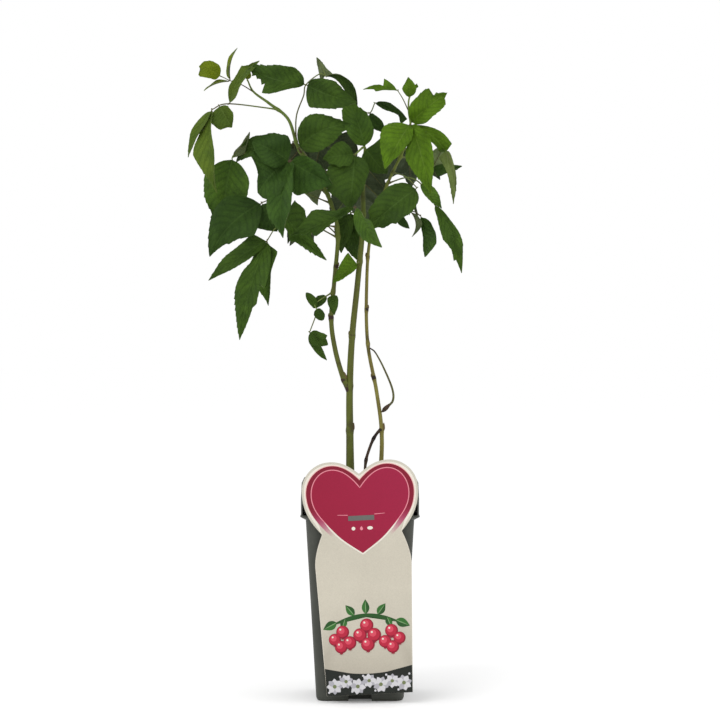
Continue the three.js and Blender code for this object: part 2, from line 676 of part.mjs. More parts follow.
// Masses at the back of the crown, each one compound leaf that leaves its limb at an azimuth,
// anticlockwise from +X as seen from above, and spreads its leaflets by the seeded rule below.
const BACK_MASSES = [
  {
    name: "back_left_leaves", limb: "left_cane", height: 436,
    azimuth: 122, rise: 36, reach: 40, blade: 50, seed: 107,
  },
  {
    name: "back_centre_leaves", limb: "main_cane", height: 426,
    azimuth: 92, rise: 6, reach: 52, blade: 50, seed: 115,
  },
  {
    name: "back_right_leaves", limb: "right_cane", height: 450,
    azimuth: 84, rise: 14, reach: 44, blade: 46, seed: 200,
  },
  {
    name: "back_low_left_leaves", limb: "left_cane", height: 384,
    azimuth: 128, rise: 22, reach: 42, blade: 40, seed: 110,
  },
  {
    name: "back_low_right_leaves", limb: "right_cane", height: 404,
    azimuth: 50, rise: 24, reach: 48, blade: 34, seed: 104,
  },
  {
    name: "back_top_leaves", limb: "left_cane", height: 454,
    azimuth: 40, rise: 20, reach: 32, blade: 39, seed: 315,
  },
  {
    name: "back_upper_leaves", limb: "main_cane", height: 430,
    azimuth: 96, rise: 32, reach: 36, blade: 38, seed: 183,
  },
];

const UP = vec(0, 0, 1);

// A compound leaf with one end leaflet and two pairs, from an azimuth and a few sizes.
function backMass(row, random) {
  const foot = limbPoint(LIMBS[row.limb], row.height);
  const out = vec(Math.cos(rad(row.azimuth)), Math.sin(rad(row.azimuth)), 0);
  const across = UP.clone().cross(out);
  const rise = Math.tan(rad(row.rise));
  const stem = BACK_STEM.shares.map((share) => {
    const lift = row.reach * share * (rise + BACK_STEM.arch * (1 - share));
    return foot.clone().addScaledVector(out, row.reach * share).addScaledVector(UP, lift);
  });
  const facing = out.clone().addScaledVector(UP, BACK_FACING_UP).normalize();
  const leaf = ([turn, share]) => {
    const aim = rad(turn + BACK_LEAF.aimSpread * (random() - 0.5));
    const droop = rad(-(BACK_LEAF.droop + BACK_LEAF.droopSpread * random()));
    const along = out.clone().multiplyScalar(Math.cos(aim) * Math.cos(droop))
      .addScaledVector(across, Math.sin(aim) * Math.cos(droop))
      .addScaledVector(UP, Math.sin(droop));
    const length = row.blade * share * (BACK_LEAF.shortest + BACK_LEAF.lengthSpread * random());
    const roll = BACK_LEAF.rollSpread * (random() - 0.5);
    const width = length * BACK_LEAF.slimness;
    return { along, facing, length, width, roll, bend: 0, stalk: BACK_LEAF.stalk };
  };
  const sprays = BACK_SPRAYS.map(({ at, turns }) => ({ at, leaves: turns.map(leaf) }));
  return { ...row, stem, sprays, finish: FINISH.darkLeaf };
}

// One mass as a single solid: its stem and twigs with every leaflet that clears the limbs.
function growMass(mass, random) {
  const limb = LIMBS[mass.limb];
  const tip = limbCurve(limb).getPoint(1);
  const foot = mass.height === undefined ? tip : limbPoint(limb, mass.height);
  const stemPoints = [foot, ...mass.stem];
  const stem = smoothCurve(stemPoints);
  let solid = stemTube(stemPoints, STEM_RADIUS);
  for (const spray of mass.sprays) {
    let node = stem.getPoint(spray.at);
    if (spray.to) {
      const end = vec(...spray.to);
      const middle = node.clone().lerp(end, 0.5);
      middle.addScaledVector(UP, TWIG_ARCH * node.distanceTo(end));
      solid = solid.add(stemTube([node, middle, end], STEM_RADIUS * TWIG_SHARE));
      node = end;
    }
    for (const leaf of spray.leaves) {
      const shape = leafletRails(node, leaf, random);
      if (clearOfLimbs(shape)) {
        solid = solid.add(leafletSolid(shape));
      }
    }
  }
  for (const clear of Object.values(limbClear)) {
    solid = solid.subtract(clear);
  }
  return largest(solid);
}

// ---------------------------------------------------------------- the plant in its pot

addMesh("pot", buildPot(), FINISH.potPlastic);
addMesh("compost", buildCompost(), FINISH.compost);
addMesh("heart_card", buildCard(), FINISH.card);
for (const [name, limb] of Object.entries(LIMBS)) {
  addMesh(name, buildLimb(name), limb.finish);
}

const handSet = MASSES.map((mass) => ({
  ...mass,
  stem: mass.stem.map((p) => vec(...p)),
  sprays: mass.sprays.map((spray) => ({ ...spray, leaves: spray.leaflets.map(leafFromRow) })),
}));
handSet.forEach((mass, k) => {
  addMesh(mass.name, toGeometry(growMass(mass, seeded(k + 1))), mass.finish);
});
BACK_MASSES.forEach((row) => {
  const random = seeded(row.seed);
  addMesh(row.name, toGeometry(growMass(backMass(row, random), random)), FINISH.darkLeaf);
});

export default group;
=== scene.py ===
"""A young raspberry plant in a tall square nursery pot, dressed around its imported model.

Tables and formulas are in millimetres, as in the part's source, and every mesh is written in metres.
+Z is up, the pot's front looks along -Y, and the origin is the middle of the pot's underside. The leaves
grow by the rule of the part's source, written again here and carried to toothed and veined blades.
"""

import json
import logging
import math
from collections.abc import Iterable, Sequence
from dataclasses import dataclass, field, replace
from enum import Enum

import bmesh
import bpy
import numpy as np
from mathutils import Matrix, Vector
from numpy.typing import NDArray

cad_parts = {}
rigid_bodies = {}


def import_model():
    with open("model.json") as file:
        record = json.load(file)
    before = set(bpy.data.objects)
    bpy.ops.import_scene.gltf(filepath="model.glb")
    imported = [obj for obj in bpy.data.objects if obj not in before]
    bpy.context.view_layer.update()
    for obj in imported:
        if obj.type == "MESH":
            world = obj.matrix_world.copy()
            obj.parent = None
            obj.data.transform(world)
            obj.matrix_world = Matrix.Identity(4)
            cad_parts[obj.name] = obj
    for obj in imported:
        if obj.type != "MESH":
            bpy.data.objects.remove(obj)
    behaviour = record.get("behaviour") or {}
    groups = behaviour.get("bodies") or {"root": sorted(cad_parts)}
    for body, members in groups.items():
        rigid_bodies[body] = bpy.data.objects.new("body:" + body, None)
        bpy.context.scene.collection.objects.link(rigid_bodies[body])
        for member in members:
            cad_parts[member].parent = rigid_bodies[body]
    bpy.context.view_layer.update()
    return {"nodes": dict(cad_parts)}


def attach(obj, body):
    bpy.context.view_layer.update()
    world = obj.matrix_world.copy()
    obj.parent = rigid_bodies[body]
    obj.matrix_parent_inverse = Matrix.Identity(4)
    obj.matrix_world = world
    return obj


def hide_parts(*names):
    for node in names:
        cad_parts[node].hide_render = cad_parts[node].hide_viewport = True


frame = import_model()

LOG = logging.getLogger("raspberry")

Array = NDArray[np.float64]
IntArray = NDArray[np.int64]
Pair = tuple[float, float]
Place = tuple[float, float, float]
Material, Node, Socket = bpy.types.Material, bpy.types.Node, bpy.types.NodeSocket

MM = 0.001
UP = np.array([0.0, 0.0, 1.0])
FRONT = np.array([0.0, -1.0, 0.0])
BODY = "root"


# ---- small mathematics


def unit(vectors: Array) -> Array:
    """Vectors along the last axis, made one long."""
    return vectors / np.linalg.norm(vectors, axis=-1, keepdims=True)


def smooth_curve(points: Array, shares: Array) -> Array:
    """Places on a Catmull-Rom curve through a few points.

    Each span is the cubic through its two ends whose slopes are half the steps between the points
    on either side, and the first and the last step are repeated past the ends.

    Args:
        points: the (n, 3) points that the curve goes through.
        shares: shares of the whole run, from 0 to 1, counted evenly by span.

    Returns:
        The (m, 3) places.
    """
    ends = np.vstack([2 * points[0] - points[1], points, 2 * points[-1] - points[-2]])
    place = np.clip(shares, 0, 1) * (len(points) - 1)
    span = np.minimum(place.astype(int), len(points) - 2)
    w = (place - span)[:, None]
    p0, p1, p2, p3 = (ends[span + k] for k in range(4))
    leave, arrive = 0.5 * (p2 - p0), 0.5 * (p3 - p1)
    return (
        p1
        + leave * w
        + (3 * (p2 - p1) - 2 * leave - arrive) * w**2
        + (2 * (p1 - p2) + leave + arrive) * w**3
    )


def bezier(corners: Sequence[Pair], steps: int) -> Array:
    """A flat chain of cubic curves, without its last point.

    Args:
        corners: a start, then two handles and an end for each curve.
        steps: points on each curve.

    Returns:
        The (curves * steps, 2) points.
    """
    t = np.linspace(0, 1, steps, endpoint=False)[:, None]
    points = np.array(corners, float)
    spans = []
    for first in range(0, len(points) - 1, 3):
        a, b, c, d = points[first : first + 4]
        spans.append((1 - t) ** 3 * a + 3 * (1 - t) ** 2 * t * b + 3 * (1 - t) * t**2 * c + t**3 * d)
    return np.vstack(spans)


class Seeded:
    """A fixed stream of numbers from 0 to 1 for each seed, the same as in the part's source."""

    def __init__(self, seed: int) -> None:
        """Starts the stream at a seed."""
        self.state = seed

    def __call__(self) -> float:
        """The next number."""
        self.state = (self.state * 1664525 + 1013904223) % 2**32
        return self.state / 2**32


# ---- surfaces


@dataclass
class Surface:
    """Points and faces of a mesh, with what the finishes read from them.

    Attributes:
        points: the (n, 3) points in millimetres.
        quads: the (q, 4) corners of the four-sided faces.
        tris: the (t, 3) corners of the three-sided faces.
        uv: the (n, 2) place of each point on its blade or sheet.
        mark: a number for each point, that a finish may read.
        slots: the finish of each face, quads first.
    """

    points: Array
    quads: IntArray
    tris: IntArray
    uv: Array
    mark: Array
    slots: IntArray

    @staticmethod
    def join(parts: Iterable["Surface"]) -> "Surface":
        """One surface from several, with the corner numbers moved on.

        Args:
            parts: the surfaces.

        Returns:
            The surface, all quads before all triangles.
        """
        parts = list(parts)
        starts = np.cumsum([0] + [len(part.points) for part in parts[:-1]])
        quad_slots = [part.slots[: len(part.quads)] for part in parts]
        tri_slots = [part.slots[len(part.quads) :] for part in parts]
        return Surface(
            np.vstack([part.points for part in parts]),
            np.vstack([part.quads + start for part, start in zip(parts, starts)]),
            np.vstack([part.tris + start for part, start in zip(parts, starts)]),
            np.vstack([part.uv for part in parts]),
            np.concatenate([part.mark for part in parts]),
            np.concatenate(quad_slots + tri_slots),
        )


def closed_loft(rings: Array, slot: int = 0, mark: Array | None = None) -> Surface:
    """A closed skin through a row of rings, with a fan to a middle point over each end.

    Face corners go round each ring and then on to the next one, so that faces look outwards where
    the rings run anticlockwise as seen from ahead.

    Args:
        rings: the (rows, count, 3) ring points.
        slot: the finish of the faces.
        mark: a number for each ring point, (rows, count), or None for noughts.

    Returns:
        The surface.
    """
    rows, count, _ = rings.shape
    index = np.arange(rows * count).reshape(rows, count)
    after = np.roll(index, -1, axis=1)
    quads = np.stack([index[:-1], after[:-1], after[1:], index[1:]], axis=-1).reshape(-1, 4)
    foot, tip = rows * count, rows * count + 1
    first = np.stack([np.full(count, foot), after[0], index[0]], axis=-1)
    last = np.stack([np.full(count, tip), index[-1], after[-1]], axis=-1)
    points = np.vstack([rings.reshape(-1, 3), rings[0].mean(0), rings[-1].mean(0)])
    marks = np.zeros((rows, count)) if mark is None else np.broadcast_to(mark, (rows, count))
    marks = np.concatenate([marks.ravel(), [marks[0].mean(), marks[-1].mean()]])
    tris = np.vstack([first, last])
    slots = np.full(len(quads) + len(tris), slot)
    return Surface(points, quads, tris, np.zeros((len(points), 2)), marks, slots)


def frames_along(path: Array) -> tuple[Array, Array]:
    """Two directions across a path at each of its points, square to it and to each other.

    The first is a fixed axis with its share along the path taken off, and the axis is the one that
    the path as a whole runs least along.

    Args:
        path: the (n, 3) points.

    Returns:
        The first direction and the second, both (n, 3).
    """
    along = unit(np.gradient(path, axis=0))
    axis = np.eye(3)[np.argmin(np.abs(along).max(0))]
    across = unit(axis - along * (along @ axis)[:, None])
    return across, np.cross(along, across)


def tube(path: Array, radii: Array, sides: int, slot: int = 0, mark: Array | None = None) -> Surface:
    """A closed tube round a path.

    Args:
        path: the (rows, 3) middle line.
        radii: the radius at each row, or at each row and side.
        sides: points round the tube.
        slot: the finish of its faces.
        mark: a number for each row, or for each row and side.

    Returns:
        The surface.
    """
    across, third = frames_along(path)
    angle = np.linspace(0, 2 * math.pi, sides, endpoint=False)
    spokes = across[:, None] * np.cos(angle)[None, :, None] + third[:, None] * np.sin(angle)[None, :, None]
    reach = np.broadcast_to(radii if np.ndim(radii) == 2 else np.asarray(radii)[:, None], (len(path), sides))
    shade = None if mark is None else (mark if np.ndim(mark) == 2 else np.asarray(mark)[:, None])
    return closed_loft(path[:, None] + spokes * reach[..., None], slot, shade)


def turned_profile(foot: Array, axis: Array, heights: Array, radii: Array, sides: int, slot: int) -> Surface:
    """A small turned shape, such as a bud, from heights and radii along an axis."""
    path = foot + np.outer(heights, unit(axis))
    return tube(path, radii, sides, slot)


def link_object(name: str, data: bpy.types.ID) -> bpy.types.Object:
    """A new object of the scene for a mesh, a camera or a lamp.

    Args:
        name: the object's name.
        data: what the object shows.

    Returns:
        The linked object.
    """
    made = bpy.data.objects.new(name, data)
    bpy.context.scene.collection.objects.link(made)
    return made


class Piece:
    """One object of the scene, made from a surface and put on the plant's body."""

    @staticmethod
    def make(
        name: str,
        surface: Surface,
        materials: Sequence[Material],
        slot: str,
        replaces: Sequence[str] = (),
        sharp: float = 50.0,
    ) -> bpy.types.Object:
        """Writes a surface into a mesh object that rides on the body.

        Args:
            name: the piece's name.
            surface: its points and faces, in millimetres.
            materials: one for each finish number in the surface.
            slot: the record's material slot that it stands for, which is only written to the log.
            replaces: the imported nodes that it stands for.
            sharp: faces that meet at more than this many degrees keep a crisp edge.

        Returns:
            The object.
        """
        mesh = bpy.data.meshes.new(name)
        corners = np.concatenate([surface.quads.ravel(), surface.tris.ravel()])
        counts = np.concatenate([np.full(len(surface.quads), 4), np.full(len(surface.tris), 3)])
        mesh.vertices.add(len(surface.points))
        mesh.vertices.foreach_set("co", (surface.points * MM).astype(np.float32).ravel())
        mesh.loops.add(len(corners))
        mesh.loops.foreach_set("vertex_index", corners.astype(np.int32))
        mesh.polygons.add(len(counts))
        mesh.polygons.foreach_set("loop_start", (np.cumsum(counts) - counts).astype(np.int32))
        mesh.polygons.foreach_set("material_index", surface.slots.astype(np.int32))
        mesh.polygons.foreach_set("use_smooth", np.ones(len(counts), bool))
        layer = mesh.uv_layers.new(name="Blade")
        layer.data.foreach_set("uv", surface.uv[corners].astype(np.float32).ravel())
        mark = mesh.attributes.new("mark", "FLOAT", "POINT")
        mark.data.foreach_set("value", surface.mark.astype(np.float32))
        mesh.update(calc_edges=True)
        mesh.validate()
        mesh.set_sharp_from_angle(angle=math.radians(sharp))
        for material in materials:
            mesh.materials.append(material)
        piece = link_object(name, mesh)
        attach(piece, BODY)
        if replaces:
            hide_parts(*replaces)
        LOG.info("%s: %d faces, %s", name, len(counts), slot)
        return piece


# ---- shader building


def linear(code: str) -> tuple[float, float, float, float]:
    """A colour written as six hexadecimal digits, as a socket's linear red, green, blue and alpha.

    Args:
        code: the six digits.

    Returns:
        Red, green, blue and an alpha of 1.
    """
    values = [int(code[k : k + 2], 16) / 255 for k in (0, 2, 4)]
    low = [v / 12.92 if v <= 0.04045 else ((v + 0.055) / 1.055) ** 2.4 for v in values]
    return (low[0], low[1], low[2], 1.0)


class Wiring:
    """A node tree that is being wired up."""

    def __init__(self, tree: bpy.types.NodeTree) -> None:
        """Takes an empty tree."""
        self.tree = tree

    def add(self, kind: str, inputs: dict | None = None, **settings: object) -> Node:
        """Places a node.

        Args:
            kind: Blender's name of the node type, after ShaderNode.
            inputs: socket name or number to a value, or to the output socket that feeds it.
            settings: the node's own settings.

        Returns:
            The node.
        """
        node = self.tree.nodes.new(kind if kind.startswith("NodeGroup") else f"ShaderNode{kind}")
        for name, value in settings.items():
            setattr(node, name, value)
        for name, value in (inputs or {}).items():
            if isinstance(value, Socket):
                self.tree.links.new(value, node.inputs[name])
            else:
                node.inputs[name].default_value = value
        return node

    def math(self, operation: str, *values: object, clamp: bool = False) -> Socket:
        """The output of a Math node over numbers or sockets."""
        inputs = dict(enumerate(values))
        return self.add("Math", inputs, operation=operation, use_clamp=clamp).outputs[0]

    def times(self, first: object, second: object, clamp: bool = False) -> Socket:
        """The product of two numbers or sockets."""
        return self.math("MULTIPLY", first, second, clamp=clamp)

    def ramp(self, value: object, low: float, high: float, to_low: float = 0, to_high: float = 1) -> object:
        """A number taken evenly from one range to another, and held at its ends."""
        inputs = {"Value": value, "From Min": low, "From Max": high, "To Min": to_low, "To Max": to_high}
        return self.add("MapRange", inputs, clamp=True).outputs[0]

    def mix(self, share: object, first: object, second: object, blend: str = "MIX") -> Socket:
        """The colour that is a share of the way from the first colour to the second."""
        inputs = {"Factor": share, 6: first, 7: second}
        return self.add("Mix", inputs, data_type="RGBA", blend_type=blend).outputs[2]

    def noise(self, vector: object, scale: float, detail: float = 3, rough: float = 0.5) -> object:
        """Smooth noise from 0 to 1 over a vector."""
        inputs = {"Vector": vector, "Scale": scale, "Detail": detail, "Roughness": rough}
        return self.add("TexNoise", inputs).outputs["Fac"]

    def mark(self) -> Socket:
        """The number that each point of the piece carries."""
        return self.add("Attribute", attribute_name="mark").outputs["Fac"]

    def shaded(self, colour: object, grey: object) -> Socket:
        """A colour made darker or lighter by a number."""
        grain = self.add("CombineColor", {0: grey, 1: grey, 2: grey}).outputs[0]
        return self.mix(1.0, colour, grain, "MULTIPLY")

    def stretched(self, vector: object, upward: float) -> Socket:
        """Coordinates whose patterns run long and upright."""
        return self.add("Mapping", {"Vector": vector, "Scale": (1.0, 1.0, upward)}).outputs[0]

    def feed(self, node: Node, **sockets: Socket) -> None:
        """Links sockets to a node's inputs by name, with a low line for a blank."""
        for name, socket in sockets.items():
            self.tree.links.new(socket, node.inputs[name.replace("_", " ")])

    def effect(self, effect: "Effect", inputs: dict) -> Node:
        """Places a shared effect with its values."""
        return self.add("Group", inputs, node_tree=Effects.get(effect))

    def two_tones(self, vector: object, scale: float, contrast: float, codes: tuple[str, str]) -> Node:
        """Places the drift between two colours, each written as six digits.

        Args:
            vector: where the drift is read.
            scale: how close together its patches are.
            contrast: how far the middle of the noise is stretched.
            codes: the two colours.

        Returns:
            The placed node group.
        """
        first, second = (linear(code) for code in codes)
        inputs = {"Vector": vector, "Scale": scale, "Contrast": contrast, "First": first, "Second": second}
        return self.effect(Effect.MOTTLE, inputs)


class Effect(Enum):
    """The effects that more than one finish uses."""

    MOTTLE = "mottle"
    VENATION = "venation"
    DUSTING = "dusting"


class Effects:
    """Builds each shared effect once, as a group of nodes."""

    made: dict[Effect, bpy.types.NodeTree] = {}

    @classmethod
    def get(cls, effect: Effect) -> bpy.types.NodeTree:
        """The group of an effect, built when it is first asked for by the method of its name.

        Args:
            effect: which one.

        Returns:
            Its node group.
        """
        if effect not in cls.made:
            cls.made[effect] = getattr(cls, effect.value)()
        return cls.made[effect]

    @staticmethod
    def open_tree(name: str, takes: dict, gives: dict) -> tuple[Wiring, dict[str, Socket], Node]:
        """A new group with its sockets.

        Args:
            name: the group's name.
            takes: input names to their kinds.
            gives: output names to their kinds.

        Returns:
            The wiring, the inputs as sockets by name, and the output node.
        """
        tree = bpy.data.node_groups.new(name, "ShaderNodeTree")
        for socket, kind in takes.items():
            tree.interface.new_socket(socket, in_out="INPUT", socket_type=f"NodeSocket{kind}")
        for socket, kind in gives.items():
            tree.interface.new_socket(socket, in_out="OUTPUT", socket_type=f"NodeSocket{kind}")
        wiring = Wiring(tree)
        entry = wiring.add("NodeGroupInput")
        return wiring, {s: entry.outputs[s] for s in takes}, wiring.add("NodeGroupOutput")

    @classmethod
    def mottle(cls) -> bpy.types.NodeTree:
        """Two tones that drift into each other.

        The mask is smooth noise with the middle of its range stretched by Contrast, and the colour
        is that share of the way from First to Second.

        Returns:
            The effect's node group.
        """
        wiring, takes, gives = cls.open_tree(
            "Mottle",
            {"Vector": "Vector", "Scale": "Float", "Contrast": "Float", "First": "Color", "Second": "Color"},
            {"Color": "Color", "Mask": "Float"},
        )
        noise = wiring.noise(takes["Vector"], takes["Scale"], 4, 0.55)
        centred = wiring.math("SUBTRACT", noise, 0.5)
        stretched = wiring.math("MULTIPLY_ADD", centred, takes["Contrast"], 0.5, clamp=True)
        colour = wiring.mix(stretched, takes["First"], takes["Second"])
        wiring.feed(gives, Color=colour, Mask=stretched)
        return wiring.tree

    @classmethod
    def venation(cls) -> bpy.types.NodeTree:
        """The veins of a blade from its own map, where U runs across it and V along it.

        The distance out from the midrib is A, from 0 to 1. A side vein lies where V times Pairs less
        A to the power Curve times Slant is a whole number, Net is a fine mesh of cells between them, and
        Field is one midway between two veins and nought on them.

        Returns:
            The effect's node group.
        """
        wiring, takes, gives = cls.open_tree(
            "Venation",
            {"Vector": "Vector", "Pairs": "Float", "Slant": "Float", "Curve": "Float", "Width": "Float"},
            {"Vein": "Float", "Midrib": "Float", "Net": "Float", "Field": "Float"},
        )
        split = wiring.add("SeparateXYZ", {0: takes["Vector"]})
        u, v = split.outputs[0], split.outputs[1]
        out = wiring.math("ABSOLUTE", wiring.math("MULTIPLY_ADD", u, 2.0, -1.0))
        curved = wiring.math("POWER", out, takes["Curve"])
        climb = wiring.times(v, takes["Pairs"])
        phase = wiring.math("SUBTRACT", climb, wiring.times(curved, takes["Slant"]))
        near = wiring.math("ABSOLUTE", wiring.math("SUBTRACT", wiring.math("FRACT", phase), 0.5))
        away = wiring.math("SUBTRACT", 0.5, near)
        line = wiring.math("SUBTRACT", 1.0, wiring.math("DIVIDE", away, takes["Width"]))
        fading = wiring.ramp(out, 0.5, 1.0, 1.0, 0.2)
        between = wiring.times(wiring.ramp(near, 0.5, 0.12), wiring.ramp(out, 0.0, 0.25))
        vein = wiring.times(wiring.math("MAXIMUM", line, 0.0), fading, clamp=True)
        midrib = wiring.ramp(out, 0.015, 0.05, 1.0, 0.0)
        cells = wiring.add("CombineXYZ", {0: wiring.times(u, 14.0), 1: phase})
        inputs = {"Vector": cells.outputs[0], "Scale": 2.2}
        net = wiring.add("TexVoronoi", inputs, feature="DISTANCE_TO_EDGE").outputs["Distance"]
        wiring.feed(gives, Vein=vein, Midrib=midrib, Net=net, Field=between)
        return wiring.tree

    @classmethod
    def dusting(cls) -> bpy.types.NodeTree:
        """Pale dust and dried splashes over a colour.

        Dust lies where broad noise and fine noise are both high, thicker by Amount, and more on
        faces that look up.

        Returns:
            The effect's node group.
        """
        wiring, takes, gives = cls.open_tree(
            "Dusting",
            {"Vector": "Vector", "Color": "Color", "Dust": "Color", "Amount": "Float"},
            {"Color": "Color", "Mask": "Float"},
        )
        broad = wiring.ramp(wiring.noise(takes["Vector"], 14, 3), 0.42, 0.7)
        fine = wiring.ramp(wiring.noise(takes["Vector"], 210, 4, 0.65), 0.4, 0.75)
        normal = wiring.add("NewGeometry").outputs["Normal"]
        level = wiring.ramp(wiring.add("SeparateXYZ", {0: normal}).outputs[2], 0.2, 1.0, 0.6, 1.6)
        patch = wiring.times(wiring.math("MULTIPLY_ADD", broad, 0.75, 0.25), fine)
        mask = wiring.times(wiring.times(patch, level), takes["Amount"], clamp=True)
        colour = wiring.mix(mask, takes["Color"], takes["Dust"])
        wiring.feed(gives, Color=colour, Mask=mask)
        return wiring.tree


@dataclass(frozen=True)
class Finish:
    """A surface finish: its name and the plain numbers of its shader."""

    name: str
    roughness: float = 0.5
    specular: float = 0.5

    def open_material(self) -> tuple[Material, Wiring, Node, Socket]:
        """An empty material with its shader.

        Returns:
            The material, its wiring, the shader, and the piece's own coordinates.
        """
        material = bpy.data.materials.new(self.name)
        material.use_nodes = True
        material.node_tree.nodes.clear()
        wiring = Wiring(material.node_tree)
        shader = wiring.add("BsdfPrincipled")
        shader.inputs["Roughness"].default_value = self.roughness
        shader.inputs["Specular IOR Level"].default_value = self.specular
        wiring.add("OutputMaterial", {"Surface": shader.outputs[0]})
        coordinates = wiring.add("TexCoord").outputs["Object"]
        return material, wiring, shader, coordinates

    @staticmethod
    def bump(wiring: Wiring, shader: Node, height: object, strength: float, distance: float) -> None:
        """Feeds a height to the shader's normal. The distance is in metres."""
        inputs = {"Strength": strength, "Distance": distance, "Height": height}
        wiring.feed(shader, Normal=wiring.add("Bump", inputs).outputs[0])


@dataclass(frozen=True)
class LeafFinish(Finish):
    """One side of a leaf blade."""

    dark: str = "35511f"
    light: str = "486b2b"
    rib: str = "66854a"
    # The side veins' colour and how much of it they take: on upper sides a darker colour, painted shade in
    # the vein grooves, and on undersides the veins' own paler colour.
    vein_and_groove_shade: str = "2a4118"
    rib_share: float = 0.22
    vein_shade_amount: float = 0.3
    # How much lighter the middles between side veins are painted, and how much darker the veins: painted
    # light and shade on the domes.
    painted_puff_light: float = 0.05
    relief: float = 0.5
    tone_and_light: Pair = (0.44, 0.78)

    def material(self) -> Material:
        """Two tones that drift, fine grain, a midrib of its own colour, side veins painted darker on upper
        sides as shade in their grooves and paler on undersides in their own colour, and the middles
        between the veins painted lighter as light on their domes.

        The mark, one number for each leaf, makes the whole leaf darker or lighter, partly by its own tone
        and partly as painted light and shade where the leaf lies lit or in shadow. A pair of the finish's
        numbers gives how much it counts, and the share of the colour that a leaf marked nought keeps.

        Returns:
            The finished material.
        """
        material, wiring, shader, own = self.open_material()
        blade = wiring.add("UVMap", uv_map="Blade").outputs[0]
        mottle = wiring.two_tones(own, 64.0, 3.4, (self.dark, self.light))
        inputs = {"Vector": blade, "Pairs": PAIRS, "Slant": SLANT, "Curve": CURVE, "Width": 0.2}
        veins = wiring.effect(Effect.VENATION, inputs)
        fine = wiring.ramp(wiring.noise(own, 620, 3, 0.6), 0.3, 0.7, 0.88, 1.1)
        cells = wiring.ramp(veins.outputs["Net"], 0.0, 0.2, 0.93, 1.02)
        tone_and_light = wiring.math("MULTIPLY_ADD", wiring.mark(), *self.tone_and_light)
        # Painted light and shade: the middles between side veins are lighter and the veins darker, as light
        # falls on the domes.
        between_vein_light = wiring.ramp(veins.outputs["Field"], 0.0, 1.0, 1 - self.painted_puff_light, 1 + self.painted_puff_light)
        grain, level = wiring.times(fine, cells), wiring.times(tone_and_light, between_vein_light)
        grained = wiring.shaded(mottle.outputs["Color"], wiring.times(grain, level))
        # Painted shade on upper sides: the side veins are darkened as if shaded in their grooves. On
        # undersides they take their own paler colour.
        share = wiring.times(veins.outputs["Vein"], self.vein_shade_amount)
        veined = wiring.mix(share, grained, linear(self.vein_and_groove_shade))
        middle = wiring.times(veins.outputs["Midrib"], self.rib_share)
        colour = wiring.mix(middle, veined, linear(self.rib))
        net = wiring.ramp(veins.outputs["Net"], 0.0, 0.16)
        height = wiring.math("MULTIPLY_ADD", veins.outputs["Vein"], -1.0, net)
        self.bump(wiring, shader, height, self.relief, 0.0005)
        rough = wiring.ramp(mottle.outputs["Mask"], 0, 1, self.roughness - 0.05, self.roughness + 0.08)
        wiring.feed(shader, Base_Color=colour, Roughness=rough)
        return material


@dataclass(frozen=True)
class StalkFinish(Finish):
    """Leaf stalks, green with a purple flush."""

    green: str = "6f7f3c"
    flush: str = "5b4034"
    tender: str = "6b7f3a"

    def material(self) -> Material:
        """Green and purple-brown that drift into each other, and tender green by the mark.

        Returns:
            The finished material.
        """
        material, wiring, shader, own = self.open_material()
        mottle = wiring.two_tones(own, 26.0, 3.4, (self.green, self.flush))
        young = wiring.times(wiring.mark(), 0.8)
        wiring.feed(shader, Base_Color=wiring.mix(young, mottle.outputs["Color"], linear(self.tender)))
        self.bump(wiring, shader, wiring.noise(own, 900, 3), 0.2, 0.0003)
        return material


@dataclass(frozen=True)
class BarkFinish(Finish):
    """A cane's bark, with scars where the mark is high."""

    young: str = "6f7d35"
    old: str = "5a5a2c"
    scar: str = "3c2a1f"
    tender: str = "6f7d35"
    tender_from: Pair = (0.36, 0.47)

    def material(self) -> Material:
        """Long streaks of two tones that turn tender green with height, brown scars, and fine fissures.

        Returns:
            The finished material.
        """
        material, wiring, shader, own = self.open_material()
        stretch = wiring.stretched(own, 0.12)
        mottle = wiring.two_tones(stretch, 260.0, 3.0, (self.young, self.old))
        patches = wiring.ramp(wiring.noise(own, 70, 4, 0.6), 0.56, 0.68, 0.0, 0.55)
        fray = wiring.math("SUBTRACT", wiring.noise(own, 420, 3), 0.5)
        ragged = wiring.math("MULTIPLY_ADD", fray, 0.7, wiring.mark())
        scarred = wiring.math("MAXIMUM", wiring.ramp(ragged, 0.3, 0.62), patches)
        height = wiring.add("SeparateXYZ", {0: own}).outputs[2]
        tender = wiring.ramp(height, *self.tender_from)
        grown = wiring.mix(tender, mottle.outputs["Color"], linear(self.tender))
        wiring.feed(shader, Base_Color=wiring.mix(scarred, grown, linear(self.scar)))
        self.bump(wiring, shader, wiring.noise(stretch, 900, 4, 0.6), 0.45, 0.0005)
        return material


@dataclass(frozen=True)
class PlasticFinish(Finish):
    """Recycled nursery-pot plastic, dusty and scuffed."""

    deep: str = "33362f"
    pale: str = "3e403a"
    dust: str = "76736b"
    dust_amount: float = 0.24

    def material(self) -> Material:
        """Two close greys in slow drifts, dust over them, and a fine moulded grain.

        Returns:
            The finished material.
        """
        material, wiring, shader, own = self.open_material()
        greys = wiring.two_tones(own, 22.0, 2.4, (self.deep, self.pale)).outputs["Color"]
        inputs = {"Vector": own, "Color": greys, "Dust": linear(self.dust), "Amount": self.dust_amount}
        dusting = wiring.effect(Effect.DUSTING, inputs)
        rough = wiring.ramp(dusting.outputs["Mask"], 0.0, 0.4, self.roughness, self.roughness + 0.3)
        wiring.feed(shader, Base_Color=dusting.outputs["Color"], Roughness=rough)
        grain = wiring.noise(own, 1600, 2)
        streaks = wiring.ramp(wiring.noise(wiring.stretched(own, 0.08), 480, 3, 0.6), 0.62, 0.8)
        self.bump(wiring, shader, wiring.math("MULTIPLY_ADD", streaks, 0.6, grain), 0.22, 0.0004)
        return material


